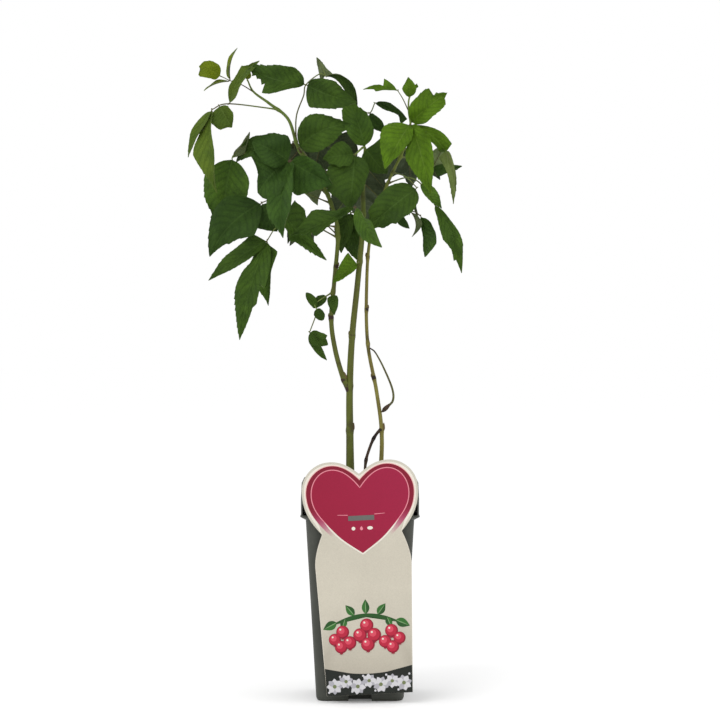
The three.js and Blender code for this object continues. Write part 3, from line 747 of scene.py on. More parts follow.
@dataclass(frozen=True)
class SoilFinish(Finish):
    """Moist compost of peat and fibres."""

    deep: str = "1f1712"
    pale: str = "4a3526"
    fibre: str = "7a6247"

    def material(self) -> Material:
        """Dark brown crumbs with paler fibres, rough all over.

        Returns:
            The finished material.
        """
        material, wiring, shader, own = self.open_material()
        crumbs = wiring.two_tones(own, 320.0, 3.4, (self.deep, self.pale)).outputs["Color"]
        fibres = wiring.ramp(wiring.noise(own, 1100, 2, 0.7), 0.66, 0.76, 0.0, 0.5)
        wiring.feed(shader, Base_Color=wiring.mix(fibres, crumbs, linear(self.fibre)))
        self.bump(wiring, shader, wiring.noise(own, 700, 5, 0.65), 0.8, 0.0012)
        return material


@dataclass(frozen=True)
class CardFinish(Finish):
    """Printed card: one ink, which fades into the bare card where the mark is low."""

    ink: str = "968f82"
    card: str = "bdb7a8"
    speck: float = 0.5
    drift: float = 0.035

    def material(self) -> Material:
        """The card's colour times the ink's share of it to the power of the mark, with faint fibres.

        Returns:
            The finished material.
        """
        material, wiring, shader, own = self.open_material()
        mark = wiring.mark()
        channels = {}
        for k, (bare, inked) in enumerate(zip(linear(self.card)[:3], linear(self.ink)[:3])):
            channels[k] = wiring.times(wiring.math("POWER", inked / bare, mark), bare)
        printed = wiring.add("CombineColor", channels).outputs[0]
        least, most = 1.0 - 0.22 * self.speck, 1.0 + 0.1 * self.speck
        fibre = wiring.ramp(wiring.noise(own, 1500, 3, 0.7), 0.3, 0.75, least, most)
        drift = wiring.ramp(wiring.noise(own, 22, 3), 0.3, 0.7, 1 - self.drift, 1 + self.drift)
        wiring.feed(shader, Base_Color=wiring.shaded(printed, wiring.times(fibre, drift)))
        self.bump(wiring, shader, wiring.noise(own, 1400, 3), 0.08, 0.0003)
        return material


# ---- leaf blades

PAIRS = 8.0  # side veins on each half of a blade
SLANT = 2.4  # how many veins further on a vein is when it reaches the edge
CURVE = 1.25  # how much a side vein bends forward on its way out

ROOT_SINK = 1.2  # how far a leaflet's stalk starts inside its stem
BLADE_FOLD = (14.0, 10.0)  # least lift of each half in degrees, and its spread
BLADE_BOW = (0.05, 0.05)  # least height of the bow as a share of the length, and its spread
OUTLINE = (0.6, 0.95)  # powers that round a blade's foot and draw out its point
STEM_RADIUS = 0.9
STEM_TAPER = 0.25
TWIG_SHARE = 0.8
TWIG_ARCH = 0.06
SLIMMING = 0.68  # a finished stalk's radius as a share of its solid's


@dataclass(frozen=True)
class Lobe:
    """A pointed lobe, or with a reach below nought a notch, on one edge of a blade.

    Attributes:
        side: 1 for the right-hand edge as one looks along the blade's face, and -1 for the left.
        place: share of the blade where it stands out most.
        reach: millimetres that it stands out.
        forward: how far its point is drawn towards the tip, as a share of the blade.
        rise: share of the blade over which it grows.
        fall: share of the blade over which it falls back.
    """

    side: int
    place: float
    reach: float
    forward: float = 0.05
    rise: float = 0.3
    fall: float = 0.07


@dataclass(frozen=True)
class Form:
    """What only a finished blade has besides its sizes.

    Attributes:
        lobes: its lobes and notches.
        slim: the shares of the half width that are left on its left-hand and right-hand side.
        twist: degrees that it is turned about its midrib at the foot and at the tip, and the shares of
            the blade between which one passes into the other.
        sway: millimetres that its middle lies to the right of the solid's midrib.
        drift: millimetres that its tip lies to the right of the solid's tip.
        arch: millimetres that its first half rises.
        trim: its length as a share of the solid's.
        round: how far its outline is an oval's, from 0 to 1.
        shade: how light the leaf is, partly its own tone and partly painted light and shade where it
        lies lit or in shadow; 0.5 for its finish's own, less for darker and more for lighter, or None
        to draw one, which is its own tone only.
    """

    lobes: tuple[Lobe, ...] = ()
    slim: Pair = (1.0, 1.0)
    twist: tuple[float, float, float, float] = (0.0, 0.0, 0.4, 0.8)
    sway: float = 0.0
    drift: float = 0.0
    arch: float = 0.0
    trim: float = 1.0
    round: float = 0.0
    shade: float | None = None


PLAIN = Form()


@dataclass(frozen=True)
class Leaflet:
    """One leaflet by its sizes: millimetres, degrees, and shares of its length."""

    along: Array
    facing: Array
    length: float
    width: float
    roll: float
    bend: float
    stalk: float
    form: Form = PLAIN


def heading(angle: float, lean: float) -> Array:
    """A direction by its angle, anticlockwise from +X as seen from the front, and its lean forward."""
    a, b = math.radians(angle), math.radians(lean)
    return np.array([math.cos(a) * math.cos(b), -math.sin(b), math.sin(a) * math.cos(b)])


def blade_outline(t: Array) -> Array:
    """Share of the full half width at a place along a blade.

    It is t to one power times what is left of the length to another, over its own peak.

    Args:
        t: places along the blade, from 0 to 1.

    Returns:
        The shares.
    """
    foot, point = OUTLINE
    widest = foot / (foot + point)
    peak = widest**foot * (1 - widest) ** point
    return np.clip(t, 0, 1) ** foot * np.clip(1 - t, 0, 1) ** point / peak


@dataclass(frozen=True)
class BladeShape:
    """How finely a blade is made, and the small forms that its solid leaves out.

    Attributes:
        tooth_spacing: millimetres from one tooth to the next along the edge.
        tooth_depth: how far a tooth stands out on a large leaflet.
        tooth_rise: places within one tooth, whose last is its point.
        across: places from the midrib to an edge, as shares of the half width.
        thickness: of the blade.
        puff: how far the blade domes between its side veins.
        billow: how far its whole face rises and falls, as a share of its width.
        wave: how far its edges wave, as a share of its width.
        stray: how unevenly its outline runs, as a share of its width.
        curl: how far its tip turns back, as a share of its length.
        large: width from which a leaflet has teeth, domes and a midrib of full size.
        least_half: the narrowest that one half of it gets.
    """

    tooth_spacing: float = 4.4
    tooth_depth: float = 0.72
    tooth_rise: tuple[float, ...] = (0.0, 0.42, 0.8, 0.94)
    across: tuple[float, ...] = (0, 0.09, 0.22, 0.37, 0.52, 0.67, 0.81, 0.93, 1)
    thickness: float = 0.34
    puff: float = 0.52
    billow: float = 0.045
    wave: float = 0.055
    stray: float = 0.035
    curl: float = 0.07
    large: float = 26.0
    least_half: float = 0.22


SHAPE = BladeShape()


class Blade:
    """A leaflet set out at its node, by the rule of the part's source."""

    def __init__(self, foot: Array, leaflet: Leaflet, random: Seeded, fine: np.random.Generator) -> None:
        """Sets out the leaflet's own axes and draws its fold and bow.

        Args:
            foot: the node that it grows from.
            leaflet: its sizes.
            random: the stream shared with the part's source.
            fine: a stream for what only the finished blade has.
        """
        along, facing = leaflet.along, leaflet.facing
        flat = unit(facing - along * (facing @ along))
        roll = math.radians(leaflet.roll)
        self.face = flat * math.cos(roll) + np.cross(along, flat) * math.sin(roll)
        self.side = np.cross(along, self.face)
        self.foot, self.leaflet, self.fine = foot, leaflet, fine
        self.fold = math.radians(BLADE_FOLD[0] + BLADE_FOLD[1] * random())
        self.bow = BLADE_BOW[0] + BLADE_BOW[1] * random()
        # A drawn shade is the leaf's own tone only. A set one also carries painted light and shade.
        drawn = 0.3 + 0.4 * fine.random()
        self.shade = drawn if leaflet.form.shade is None else leaflet.form.shade
        self.curl = SHAPE.curl * (0.4 + fine.random()) * leaflet.length
        self.size = min(1.0, leaflet.width / SHAPE.large)

    def middle(self, t: Array) -> Array:
        """Places on the midrib.

        They run along the blade, moved aside and bowed by four times t times one less t. The arch is
        6.75 times t times one less t squared, which is one at a third of the way.

        Args:
            t: places along the blade, from 0 to 1.

        Returns:
            The (n, 3) places.
        """
        leaflet, form = self.leaflet, self.leaflet.form
        bell = (4 * t * (1 - t))[:, None]
        run = (t * leaflet.length * form.trim + leaflet.stalk)[:, None]
        aside = leaflet.bend * leaflet.length * bell + form.sway * bell + form.drift * (t**2)[:, None]
        rise = form.arch * (6.75 * t * (1 - t) ** 2)[:, None]
        lift = self.face * self.bow * leaflet.length * bell + UP * rise
        return self.foot + leaflet.along * run + self.side * aside + lift

    def turned(self, t: Array) -> Array:
        """The blade's own turn about its midrib at each place, in radians.

        Args:
            t: shares of the blade's length.

        Returns:
            An angle for each share.
        """
        foot, tip, begin, end = self.leaflet.form.twist
        share = np.clip((t - begin) / (end - begin), 0, 1)
        return np.radians(foot + (tip - foot) * share**2 * (3 - 2 * share))

    def stations(self) -> tuple[Array, Array]:
        """Places along the blade, a few to each tooth, and how far each is up its tooth's slope.

        Returns:
            Shares of the length, and for each its share of the slope.
        """
        teeth = max(7, round(self.leaflet.length / SHAPE.tooth_spacing))
        rise = np.array(SHAPE.tooth_rise)
        t = (np.arange(teeth)[:, None] + rise) / teeth
        return np.append(t.ravel(), 1.0), np.append(np.tile(rise / rise[-1], teeth), 0.0)

    def edge(self, t: Array, side: int) -> tuple[Array, Array]:
        """How far one edge stands out at each place, and how far it is drawn forward.

        The outline's half width is waved by two sines, and each lobe adds its reach times a bell that
        grows before its place and falls back after it.

        Args:
            t: places along the blade.
            side: 1 for the right-hand edge, -1 for the left.

        Returns:
            The half widths and the forward shifts, in millimetres.
        """
        leaflet = self.leaflet
        start = self.fine.random(2) * 2 * math.pi
        stray = np.sin(2 * math.pi * 1.3 * t + start[0]) + 0.6 * np.sin(2 * math.pi * 3.1 * t + start[1])
        slim = leaflet.form.slim[(side + 1) // 2]
        oval = np.sqrt(np.clip(1 - (2 * t - 1) ** 2, 0, 1))
        outline = blade_outline(t) + (oval - blade_outline(t)) * leaflet.form.round
        half = outline * slim * (1 + SHAPE.stray * stray) * leaflet.width / 2
        half = np.maximum(half, SHAPE.least_half)
        ahead = np.zeros_like(t)
        for lobe in leaflet.form.lobes:
            if lobe.side == side:
                rise = np.clip((t - lobe.place + lobe.rise) / lobe.rise, 0, 1)
                fall = np.clip(1 - (t - lobe.place) / lobe.fall, 0, 1)
                bell = rise**2 * (3 - 2 * rise) * fall**1.5
                half = half + lobe.reach * bell
                ahead = ahead + lobe.forward * leaflet.length * bell
        return np.maximum(half, SHAPE.least_half), ahead

    def surface(self) -> Surface:
        """The blade as a thin closed skin, its upper side in finish 0 and its underside in finish 1.

        A point lies out along the side axis by its share of the half width, which near the edge gains
        the tooth, and is lifted by the fold, domed between side veins by the sine of the vein phase,
        waved at the edges and turned back at the tip. Where the blade twists, the side axis and the
        face axis turn together about the midrib.

        Returns:
            The closed skin.
        """
        leaflet, fine = self.leaflet, self.fine
        t, rise = self.stations()
        s = np.concatenate([-np.array(SHAPE.across)[:0:-1], SHAPE.across])
        left, right = self.edge(t, -1), self.edge(t, 1)
        half, ahead = (np.where(s < 0, left[k][:, None], right[k][:, None]) for k in (0, 1))
        out = np.abs(s)[None, :]
        irregular = np.append(np.repeat(0.3 + 1.4 * fine.random(len(t) // 4) ** 1.5, 4), 0.0)[:, None]
        room = (np.clip(8 * t * (1.02 - t), 0, 1) * (0.45 + 1.1 * t**2))[:, None]
        tooth = SHAPE.tooth_depth * self.size**1.4 * (rise[:, None] ** 1.2 - 0.55) * irregular * room * out**9
        reach = out * half + tooth
        soft = np.sqrt(reach**2 + 0.3**2) - 0.3
        lift = soft * math.sin(self.fold) * (1.28 - 0.28 * out)
        phase = t[:, None] * PAIRS - out**CURVE * SLANT
        belly = np.clip(4.6 * out * (1.08 - out), 0, 1) * np.clip(7 * t * (1 - t), 0, 1)[:, None]
        dome = SHAPE.puff * self.size * (np.abs(np.sin(math.pi * phase)) ** 0.7 - 0.6) * belly
        start = fine.random(2) * 2 * math.pi
        turn = np.where(s < 0, start[0], start[1])[None, :]
        swell = np.sin(2 * math.pi * (1.25 * t[:, None] + 0.35 * out) + 1.7 * turn)
        dome = dome + SHAPE.billow * leaflet.width * swell * belly
        wave = SHAPE.wave * leaflet.width * out**2 * np.sin(2 * math.pi * 1.4 * t[:, None] + turn)
        wave *= np.clip(5 * t * (1 - t), 0, 1)[:, None]
        aside = np.sign(s)[None, :] * reach * math.cos(self.fold)
        height = lift + dome + wave - self.curl * (t**3)[:, None]
        forward = 0.5 * np.maximum(tooth, 0) + ahead * out**1.5
        turned = self.turned(t)[:, None]
        across = aside * np.cos(turned) - height * np.sin(turned)
        upward = aside * np.sin(turned) + height * np.cos(turned)
        points = (
            self.middle(t)[:, None]
            + self.side * across[..., None]
            + self.face * upward[..., None]
            + leaflet.along * forward[..., None]
        )
        return self.two_sided(points, t, s)

    def two_sided(self, points: Array, t: Array, s: Array) -> Surface:
        """Closes a sheet of points into a thin blade with a shared rim.

        Args:
            points: the (rows, count, 3) points of the upper side.
            t: each row's place along the blade.
            s: each column's place across it, from -1 to 1.

        Returns:
            The blade, its underside one thickness back along each point's normal.
        """
        rows, count, _ = points.shape
        inside = (rows - 2, count - 2)
        top = np.arange(rows * count).reshape(rows, count)
        under = top.copy()
        under[1:-1, 1:-1] = rows * count + np.arange(inside[0] * inside[1]).reshape(inside)
        run, over = np.gradient(points, axis=0), np.gradient(points, axis=1)
        normal = unit(np.cross(over, run))
        below = (points - normal * SHAPE.thickness)[1:-1, 1:-1]
        uv = np.stack(np.broadcast_arrays((s[None, :] + 1) / 2, t[:, None]), axis=-1)
        front = np.stack([top[:-1, :-1], top[:-1, 1:], top[1:, 1:], top[1:, :-1]], axis=-1)
        back = np.stack([under[:-1, :-1], under[1:, :-1], under[1:, 1:], under[:-1, 1:]], axis=-1)
        return Surface(
            np.vstack([points.reshape(-1, 3), below.reshape(-1, 3)]),
            np.vstack([front.reshape(-1, 4), back.reshape(-1, 4)]),
            np.zeros((0, 3), int),
            np.vstack([uv.reshape(-1, 2), uv[1:-1, 1:-1].reshape(-1, 2)]),
            np.full(rows * count + inside[0] * inside[1], self.shade),
            np.repeat([0, 1], (rows - 1) * (count - 1)),
        )

    def rib(self) -> Surface:
        """The stalk and the midrib under the blade, one thin tube that fades out before the tip.

        Returns:
            The closed tube.
        """
        leaflet = self.leaflet
        stalk = np.linspace(-leaflet.stalk - ROOT_SINK, 0, 4)[:-1, None]
        lead = self.foot + leaflet.along * (stalk + leaflet.stalk)
        t = np.linspace(0, 0.9, 12)
        thick = 0.3 + 0.14 * self.size
        radius = thick * (1 - t) + 0.1
        turned = self.turned(t)[:, None]
        below = self.face * np.cos(turned) - self.side * np.sin(turned)
        depth = SHAPE.thickness + 0.5 * radius + self.curl * t**3
        path = np.vstack([lead, self.middle(t) - below * depth[:, None]])
        return tube(path, np.concatenate([np.full(len(lead), thick), radius]), 6)


# ---- the plant's rule


@dataclass(frozen=True)
class Limb:
    """A cane or twig by its points, radii and nodes, in millimetres.

    Attributes:
        points: the places that it runs through, from its foot to its tip.
        radius: at its foot and at its tip.
        flare: swelling at its foot.
        nodes: heights of its bare nodes, which carry a ring and a scar.
        parent: the limb that it grows from.
        thin: the finished radius as a share of the solid's.
        scar: how strongly the rings at its bare nodes show, from 0 to 1.
    """

    points: tuple[Place, ...]
    radius: Pair
    flare: float
    nodes: tuple[float, ...] = ()
    parent: str | None = None
    thin: float = 1.0
    scar: float = 1.0

    def path(self, steps: int) -> Array:
        """Places along the limb at even shares of its run."""
        return smooth_curve(np.array(self.points, float), np.linspace(0, 1, steps + 1))

    def radii(self, steps: int) -> Array:
        """The radius at those places: an even taper, and a swelling that dies away from the foot.

        Args:
            steps: how many places there are.

        Returns:
            A radius for each place, in millimetres.
        """
        share = np.linspace(0, 1, steps + 1)
        foot, tip = self.radius
        return (foot + (tip - foot) * share + self.flare * np.exp(-share * 18)) * self.thin

    def at_height(self, height: float | None) -> Array:
        """Where the limb first passes a height.

        Args:
            height: the height, or None for the tip.

        Returns:
            The place, which is the tip too for a height that the limb doesn't pass.
        """
        path = self.path(60)
        above = np.nonzero(path[:, 2] >= (np.inf if height is None else height))[0]
        if len(above) == 0 or above[0] == 0:
            return path[-1]
        k = above[0]
        share = (height - path[k - 1, 2]) / (path[k, 2] - path[k - 1, 2])
        return path[k - 1] + (path[k] - path[k - 1]) * share


LIMBS: dict[str, Limb] = {
    "main_cane": Limb(
        (
            (-8, -3, 165), (-8.5, -3, 215), (-8.6, -4, 255), (-6.5, -5, 300), (-1.5, -4, 350), (2.5, -3, 395),
            (2, -3, 438),
        ),
        (2.6, 1.5), 1.1, (221, 300), None, 1.26, 0.5,
    ),
    "left_cane": Limb(
        (
            (-9, -4, 254), (-15, -6, 268), (-21, -6, 290), (-24, -6, 314), (-21.5, -5, 345), (-18.5, -4, 385),
            (-24, -4, 410), (-37, -5, 438), (-51, -6, 456), (-60, -6, 481), (-77, -6, 495),
        ),
        (2.2, 1.2), 0.4, (263, 315, 358), "main_cane",
    ),
    "right_cane": Limb(
        (
            (16, 6, 165), (18.3, 6, 215), (14, 6, 253), (6.5, 7, 294), (5.5, 7, 340), (9, 6, 385),
            (22, 3, 425), (36, -3, 455), (41, -8, 471),
        ),
        (2.2, 1.3), 0.9, (221, 265, 322, 366), None, 0.8,
    ),
    "dry_stalk": Limb(
        ((8.4, 7, 290), (13, 4, 286), (20, 2, 273), (27, 1, 256), (27.5, 1, 246), (22, 2, 240)),
        (0.8, 1.5), 0.0, (), "right_cane", 0.68,
    ),
    "dead_twig": Limb(
        ((4, 2, 166), (4.5, 3, 192), (8, 4, 206), (12.5, 5, 216), (18, 6, 223)),
        (1.6, 1.9), 0.0, (196, 214), None, 0.66,
    ),
}


class Tone(Enum):
    """The greens of the leaves, from the youngest to the oldest."""

    LIME = "lime"
    LIGHT = "light"
    BRIGHT = "bright"
    FRESH = "fresh"
    DEEP = "deep"


@dataclass(frozen=True)
class Spray:
    """Leaflets that stand together: at a share of the stem's run, or at the end of a twig from there."""

    at: float
    rows: tuple[tuple[float, ...], ...] = ()
    to: Place | None = None
    grown: tuple[Leaflet, ...] = ()

    def leaflets(self) -> tuple[Leaflet, ...]:
        """The leaflets. A row is heading, length, width, lean, roll, bend and stalk.

        Returns:
            The leaflets of the rows, and after them the grown ones.
        """
        rows = [
            Leaflet(heading(angle, lean), FRONT, length, width, roll, bend, stalk)
            for angle, length, width, lean, roll, bend, stalk in self.rows
        ]
        return (*rows, *self.grown)


LEFT, RIGHT = -1, 1

# The forms of the leaflets in each mass, by their number in it. A shade set here is partly the
# leaf's own tone and partly painted light and shade: leaves that lie lit are set lighter, and
# leaves in shadow darker.
FORMS: dict[str, dict[int, Form]] = {
    "left_tip": {
        0: Form((
            Lobe(RIGHT, 0.9, 1.2, 0.06, 0.4, 0.06), Lobe(LEFT, 0.8, 4.2, 0.1, 0.5, 0.1),
        ), (0.95, 0.95), shade=0.45),
    },
    "left_droop": {
        0: Form((
            Lobe(LEFT, 0.68, 3.6, 0.04, 0.3, 0.14), Lobe(RIGHT, 0.8, 1.6, 0.05, 0.12),
        ), (0.5, 1.35), trim=0.94),
        1: Form((Lobe(RIGHT, 0.84, 4, 0.06, 0.6, 0.1),), (0.8, 1.15), sway=-1.2, drift=-1.6),
        2: Form((Lobe(RIGHT, 0.5, 4.6, 0.02, 0.42, 0.46),), (0.72, 0.95), drift=5.5),
        3: Form(slim=(0.9, 1), sway=0.4, drift=4),
    },
    "upper_left": {
        0: Form((
            Lobe(LEFT, 0.64, 11.4, 0.09, 0.46, 0.05), Lobe(LEFT, 0.73, 5.4, 0.02, 0.08, 0.06),
            Lobe(LEFT, 0.83, 3.2, 0.02, 0.06, 0.04), Lobe(LEFT, 0.9, 2.6, 0.02, 0.05, 0.04),
            Lobe(RIGHT, 0.9, 1.4, 0.03, 0.2, 0.06),
        ), (0.42, 1.12), shade=0.6),
        1: Form((Lobe(LEFT, 0.62, 4, 0, 0.4, 0.36), Lobe(RIGHT, 0.3, 3.4, 0, 0.3, 0.2)), (0.8, 0.98)),
        2: Form((
            Lobe(RIGHT, 0.12, 3.4, -0.3, 0.12, 0.4), Lobe(LEFT, 0.12, 5.2, -0.3, 0.12, 0.3),
        ), (0.4, 0.7), drift=1),
        3: Form(slim=(0.46, 1.05), sway=1.6, drift=1.5, arch=7),
    },
    "upper_centre": {
        0: Form((Lobe(LEFT, 0.56, 2.4, 0, 0.3, 0.4),), (1.06, 0.95), drift=4.5, shade=0.6),
    },
    "centre": {
        0: Form((Lobe(LEFT, 0.86, 2, 0.06, 0.3, 0.1),), (1.05, 0.84), drift=-2.5, shade=1.3),
        1: Form((Lobe(LEFT, 0.2, 10, -0.16, 0.2, 0.45),), (1.4, 1)),
        2: Form((Lobe(LEFT, 0.6, 1.6, 0.05, 0.2, 0.06), Lobe(LEFT, 0.84, 1.4, 0.04, 0.12, 0.05))),
        3: Form((Lobe(RIGHT, 0.72, 4, 0.04, 0.4, 0.16),), (0.9, 1.35), drift=3, shade=0.32),
    },
    "left_middle": {
        0: Form((Lobe(RIGHT, 0.5, 4.6, 0.02, 0.4, 0.4),), (1, 1.5), shade=0.9),
        1: Form(slim=(1, 1.04), trim=0.84, round=0.3),
        2: Form((
            Lobe(RIGHT, 0.6, 11, 0.04, 0.5, 0.14), Lobe(LEFT, 0.84, 9, 0.12, 0.4, 0.1),
            Lobe(LEFT, 0.97, 8, 0.04, 0.2, 0.03),
        ), (1.2, 0.94), drift=-6),
        3: Form((
            Lobe(LEFT, 0.72, 2.4, 0.04, 0.4, 0.14), Lobe(RIGHT, 0.74, 2.2, 0.04, 0.4, 0.2),
        ), (1.5, 1), shade=0.95),
    },
    "left_outer": {
        0: Form((
            Lobe(RIGHT, 0.12, 4, -0.34, 0.12, 0.5), Lobe(LEFT, 0.12, 4, -0.34, 0.12, 0.5),
        ), (1.3, 1.3), round=0.5),
        1: Form((Lobe(RIGHT, 0.08, 8, 0, 0.08, 0.4),), (1.15, 0.66), drift=1.5, trim=0.93, shade=0.5),
        2: Form(slim=(0.8, 0.8), sway=2.5, drift=3),
        3: Form(slim=(1.2, 1.06), shade=1.4),
    },
    "left_low": {
        0: Form((
            Lobe(LEFT, 0.44, 12.5, 0.02, 0.44, 0.3), Lobe(LEFT, 0.7, 1.4, 0.03, 0.1, 0.06),
        ), (0.56, 1), shade=0.25),
        1: Form((Lobe(RIGHT, 0.36, 4, 0, 0.3, 0.3),), (1, 1.4)),
    },
    "left_centre": {
        0: Form((
            Lobe(LEFT, 0.06, 13, -0.1, 0.06, 0.6), Lobe(LEFT, 0.5, 1.4, 0.06, 0.25),
            Lobe(LEFT, 0.24, 3.6, 0.04, 0.16, 0.2), Lobe(RIGHT, 0.06, 4, -0.1, 0.06, 0.2),
            Lobe(RIGHT, 0.4, 2.4, 0.02, 0.2, 0.08),
        ), (0.5, 0.42), shade=1.15),
    },
    "left_hanging": {
        0: Form((Lobe(RIGHT, 0.12, 5.6, 0, 0.12, 0.3),), (0.96, 1), sway=-1.8, shade=0.5),
        1: Form((
            Lobe(LEFT, 0.44, 3.6, 0.1, 0.3, 0.05), Lobe(LEFT, 0.66, 2.6, 0.04, 0.12, 0.06),
            Lobe(RIGHT, 0.26, -4.4, 0, 0.26, 0.3),
        ), (1, 0.92), drift=1, trim=0.98, shade=0.7),
        2: Form((
            Lobe(LEFT, 0.18, 8.4, 0, 0.18, 0.3), Lobe(RIGHT, 0.74, 3.4, 0, 0.3, 0.2),
        ), (0.4, 1.1), sway=3, drift=1, shade=1.3),
    },
    "centre_front": {
        0: Form((
            Lobe(LEFT, 0.64, 4.6, 0.06, 0.26), Lobe(LEFT, 0.8, 1.6, 0.04, 0.12),
            Lobe(RIGHT, 0.6, 9, 0, 0.36, 0.4),
        ), (0.3, 0.6), shade=0.5),
        1: Form((Lobe(LEFT, 0.6, 8, 0, 0.3, 0.5),), (0.9, 1.2), drift=3.2, shade=1.7),
    },
    "right_front": {
        0: Form((
            Lobe(RIGHT, 0.8, 1.8, 0.04, 0.12), Lobe(LEFT, 0.62, 1.8, 0.03, 0.12),
            Lobe(LEFT, 0.8, 1.8, 0.03, 0.12),
        ), (0.92, 0.94), shade=0.42),
    },
    "right_tip": {
        0: Form((
            Lobe(RIGHT, 0.56, 2.6, 0, 0.4, 0.3), Lobe(LEFT, 0.76, 1.2, 0.04, 0.15),
        ), (0.62, 1.06), sway=1.2),
        1: Form((
            Lobe(LEFT, 0.6, 1.6, 0.02, 0.3, 0.3), Lobe(RIGHT, 0.2, -4.5, 0, 0.2, 0.35),
            Lobe(LEFT, 0.14, -2.5, 0, 0.14, 0.3),
        ), (1.05, 1), sway=-1.6, drift=5, shade=0.4),
        2: Form((
            Lobe(RIGHT, 0.16, 3, 0, 0.16, 0.2),
        ), (0.84, 0.44), (42, -118, 0.4, 0.48), sway=-1, drift=2, arch=2.6, shade=0.5),
        3: Form((
            Lobe(LEFT, 0.72, 4.2, 0.1, 0.5, 0.03), Lobe(LEFT, 0.75, -2.4, 0, 0.03, 0.4),
            Lobe(LEFT, 0.84, 2.2, 0.03, 0.05, 0.03), Lobe(LEFT, 0.92, 2.2, 0.03, 0.05, 0.03),
            Lobe(RIGHT, 0.84, 3.4, 0.02, 0.4, 0.06),
        ), (1.12, 0.76), trim=0.96, shade=0.5),
        4: Form((
            Lobe(RIGHT, 0.36, 3.8, 0.04, 0.36, 0.03), Lobe(RIGHT, 0.41, -3.2, 0, 0.03, 0.6),
            Lobe(LEFT, 0.66, 3.4, 0.02, 0.3, 0.03),
        ), (0.36, 0.85)),
        5: Form((Lobe(LEFT, 0.4, 1.6, 0.06, 0.3, 0.3),), (1.1, 0.95), trim=0.97),
        6: Form(slim=(0.8, 0.8), trim=0.45),
        7: Form(slim=(0.8, 0.8), trim=0.45),
    },
    "right_outer": {
        0: Form((Lobe(LEFT, 0.6, 2, 0.08, 0.2),)),
        1: Form((Lobe(RIGHT, 0.14, 4, 0, 0.14, 0.5),), (0.7, 0.7), trim=0.93),
        2: Form(slim=(1.4, 1.3), shade=2.8),
    },
    "right_hanging": {
        0: Form(slim=(1.4, 0.4), drift=-1, trim=0.96, shade=2.6),
        1: Form((
            Lobe(LEFT, 0.7, 5.6, 0, 0.5, 0.34), Lobe(RIGHT, 0.5, 3.6, 0, 0.4, 0.2),
            Lobe(RIGHT, 0.78, 2, 0.04, 0.12, 0.04),
        ), (0.56, 0.62), sway=-2.2, drift=5.5, shade=1.05),
    },
    "right_small": {
        1: Form(slim=(0.8, 1.5), twist=(150, 150, 0.4, 0.8), sway=-7.6, drift=-5, shade=0.7),
        2: Form((Lobe(LEFT, 0.74, 4.4, 0, 0.5, 0.26),), (1.75, 0.3), trim=0.96, round=0.5, shade=1.5),
    },
    "upper_dark": {
        0: Form(slim=(1, 0.9), drift=-1.5),
        1: Form((Lobe(RIGHT, 0.93, 6, 0, 0.22, 0.07),), (0.9, 0.34)),
    },
    "low_sprig": {
        1: Form(round=0.7),
        2: Form(slim=(0.86, 0.86), drift=-1, round=0.7),
        3: Form(round=0.8),
        4: Form((Lobe(LEFT, 0.7, 2.4, 0.08, 0.3),), round=0.3),
    },
    "low_centre": {
        0: Form((Lobe(RIGHT, 0.12, 7, -0.12, 0.12, 0.5),), (0.8, 0.9), shade=0.45),
    },
    "inner": {
        1: Form(slim=(1.2, 1.2), drift=6, trim=1.12),
    },
    "back_low_left": {
        1: Form(slim=(0.8, 0.6), sway=-7, drift=-16, trim=0.6),
        2: Form(slim=(0.9, 0.9), drift=8, trim=0.62),
    },
    "back_right": {
        0: Form((Lobe(RIGHT, 0.72, 4, 0, 0.4, 0.26),), (1, 1.6)),
        3: Form((Lobe(RIGHT, 0.66, 6, 0, 0.4, 0.3),), (1, 1.6)),
    },
    "back_top": {
        0: Form((Lobe(RIGHT, 0.62, 5.6, 0, 0.4, 0.3),)),
        3: Form(slim=(1.7, 1.7)),
        4: Form(slim=(1.7, 1.7), twist=(45, 45, 0.4, 0.8)),
    },
    "back_low_right": {
        1: Form(sway=-4, drift=-14, trim=0.8),
        2: Form(slim=(1, 0.5), sway=-9, drift=-24, trim=0.6),
        3: Form(slim=(1, 0.8), sway=-6, drift=-10, trim=0.8),
        4: Form(slim=(1, 0.5), sway=-10, drift=-26, trim=0.6),
    },
}


@dataclass(frozen=True)
class Mass:
    """One compound leaf or shoot tip: a stem from a limb, and its sprays of leaflets.

    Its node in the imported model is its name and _leaves. A mass without a height runs on from the
    tip of its limb.
    """

    name: str
    limb: str
    tone: Tone
    stem: tuple[Place, ...]
    sprays: tuple[Spray, ...]
    height: float | None = None


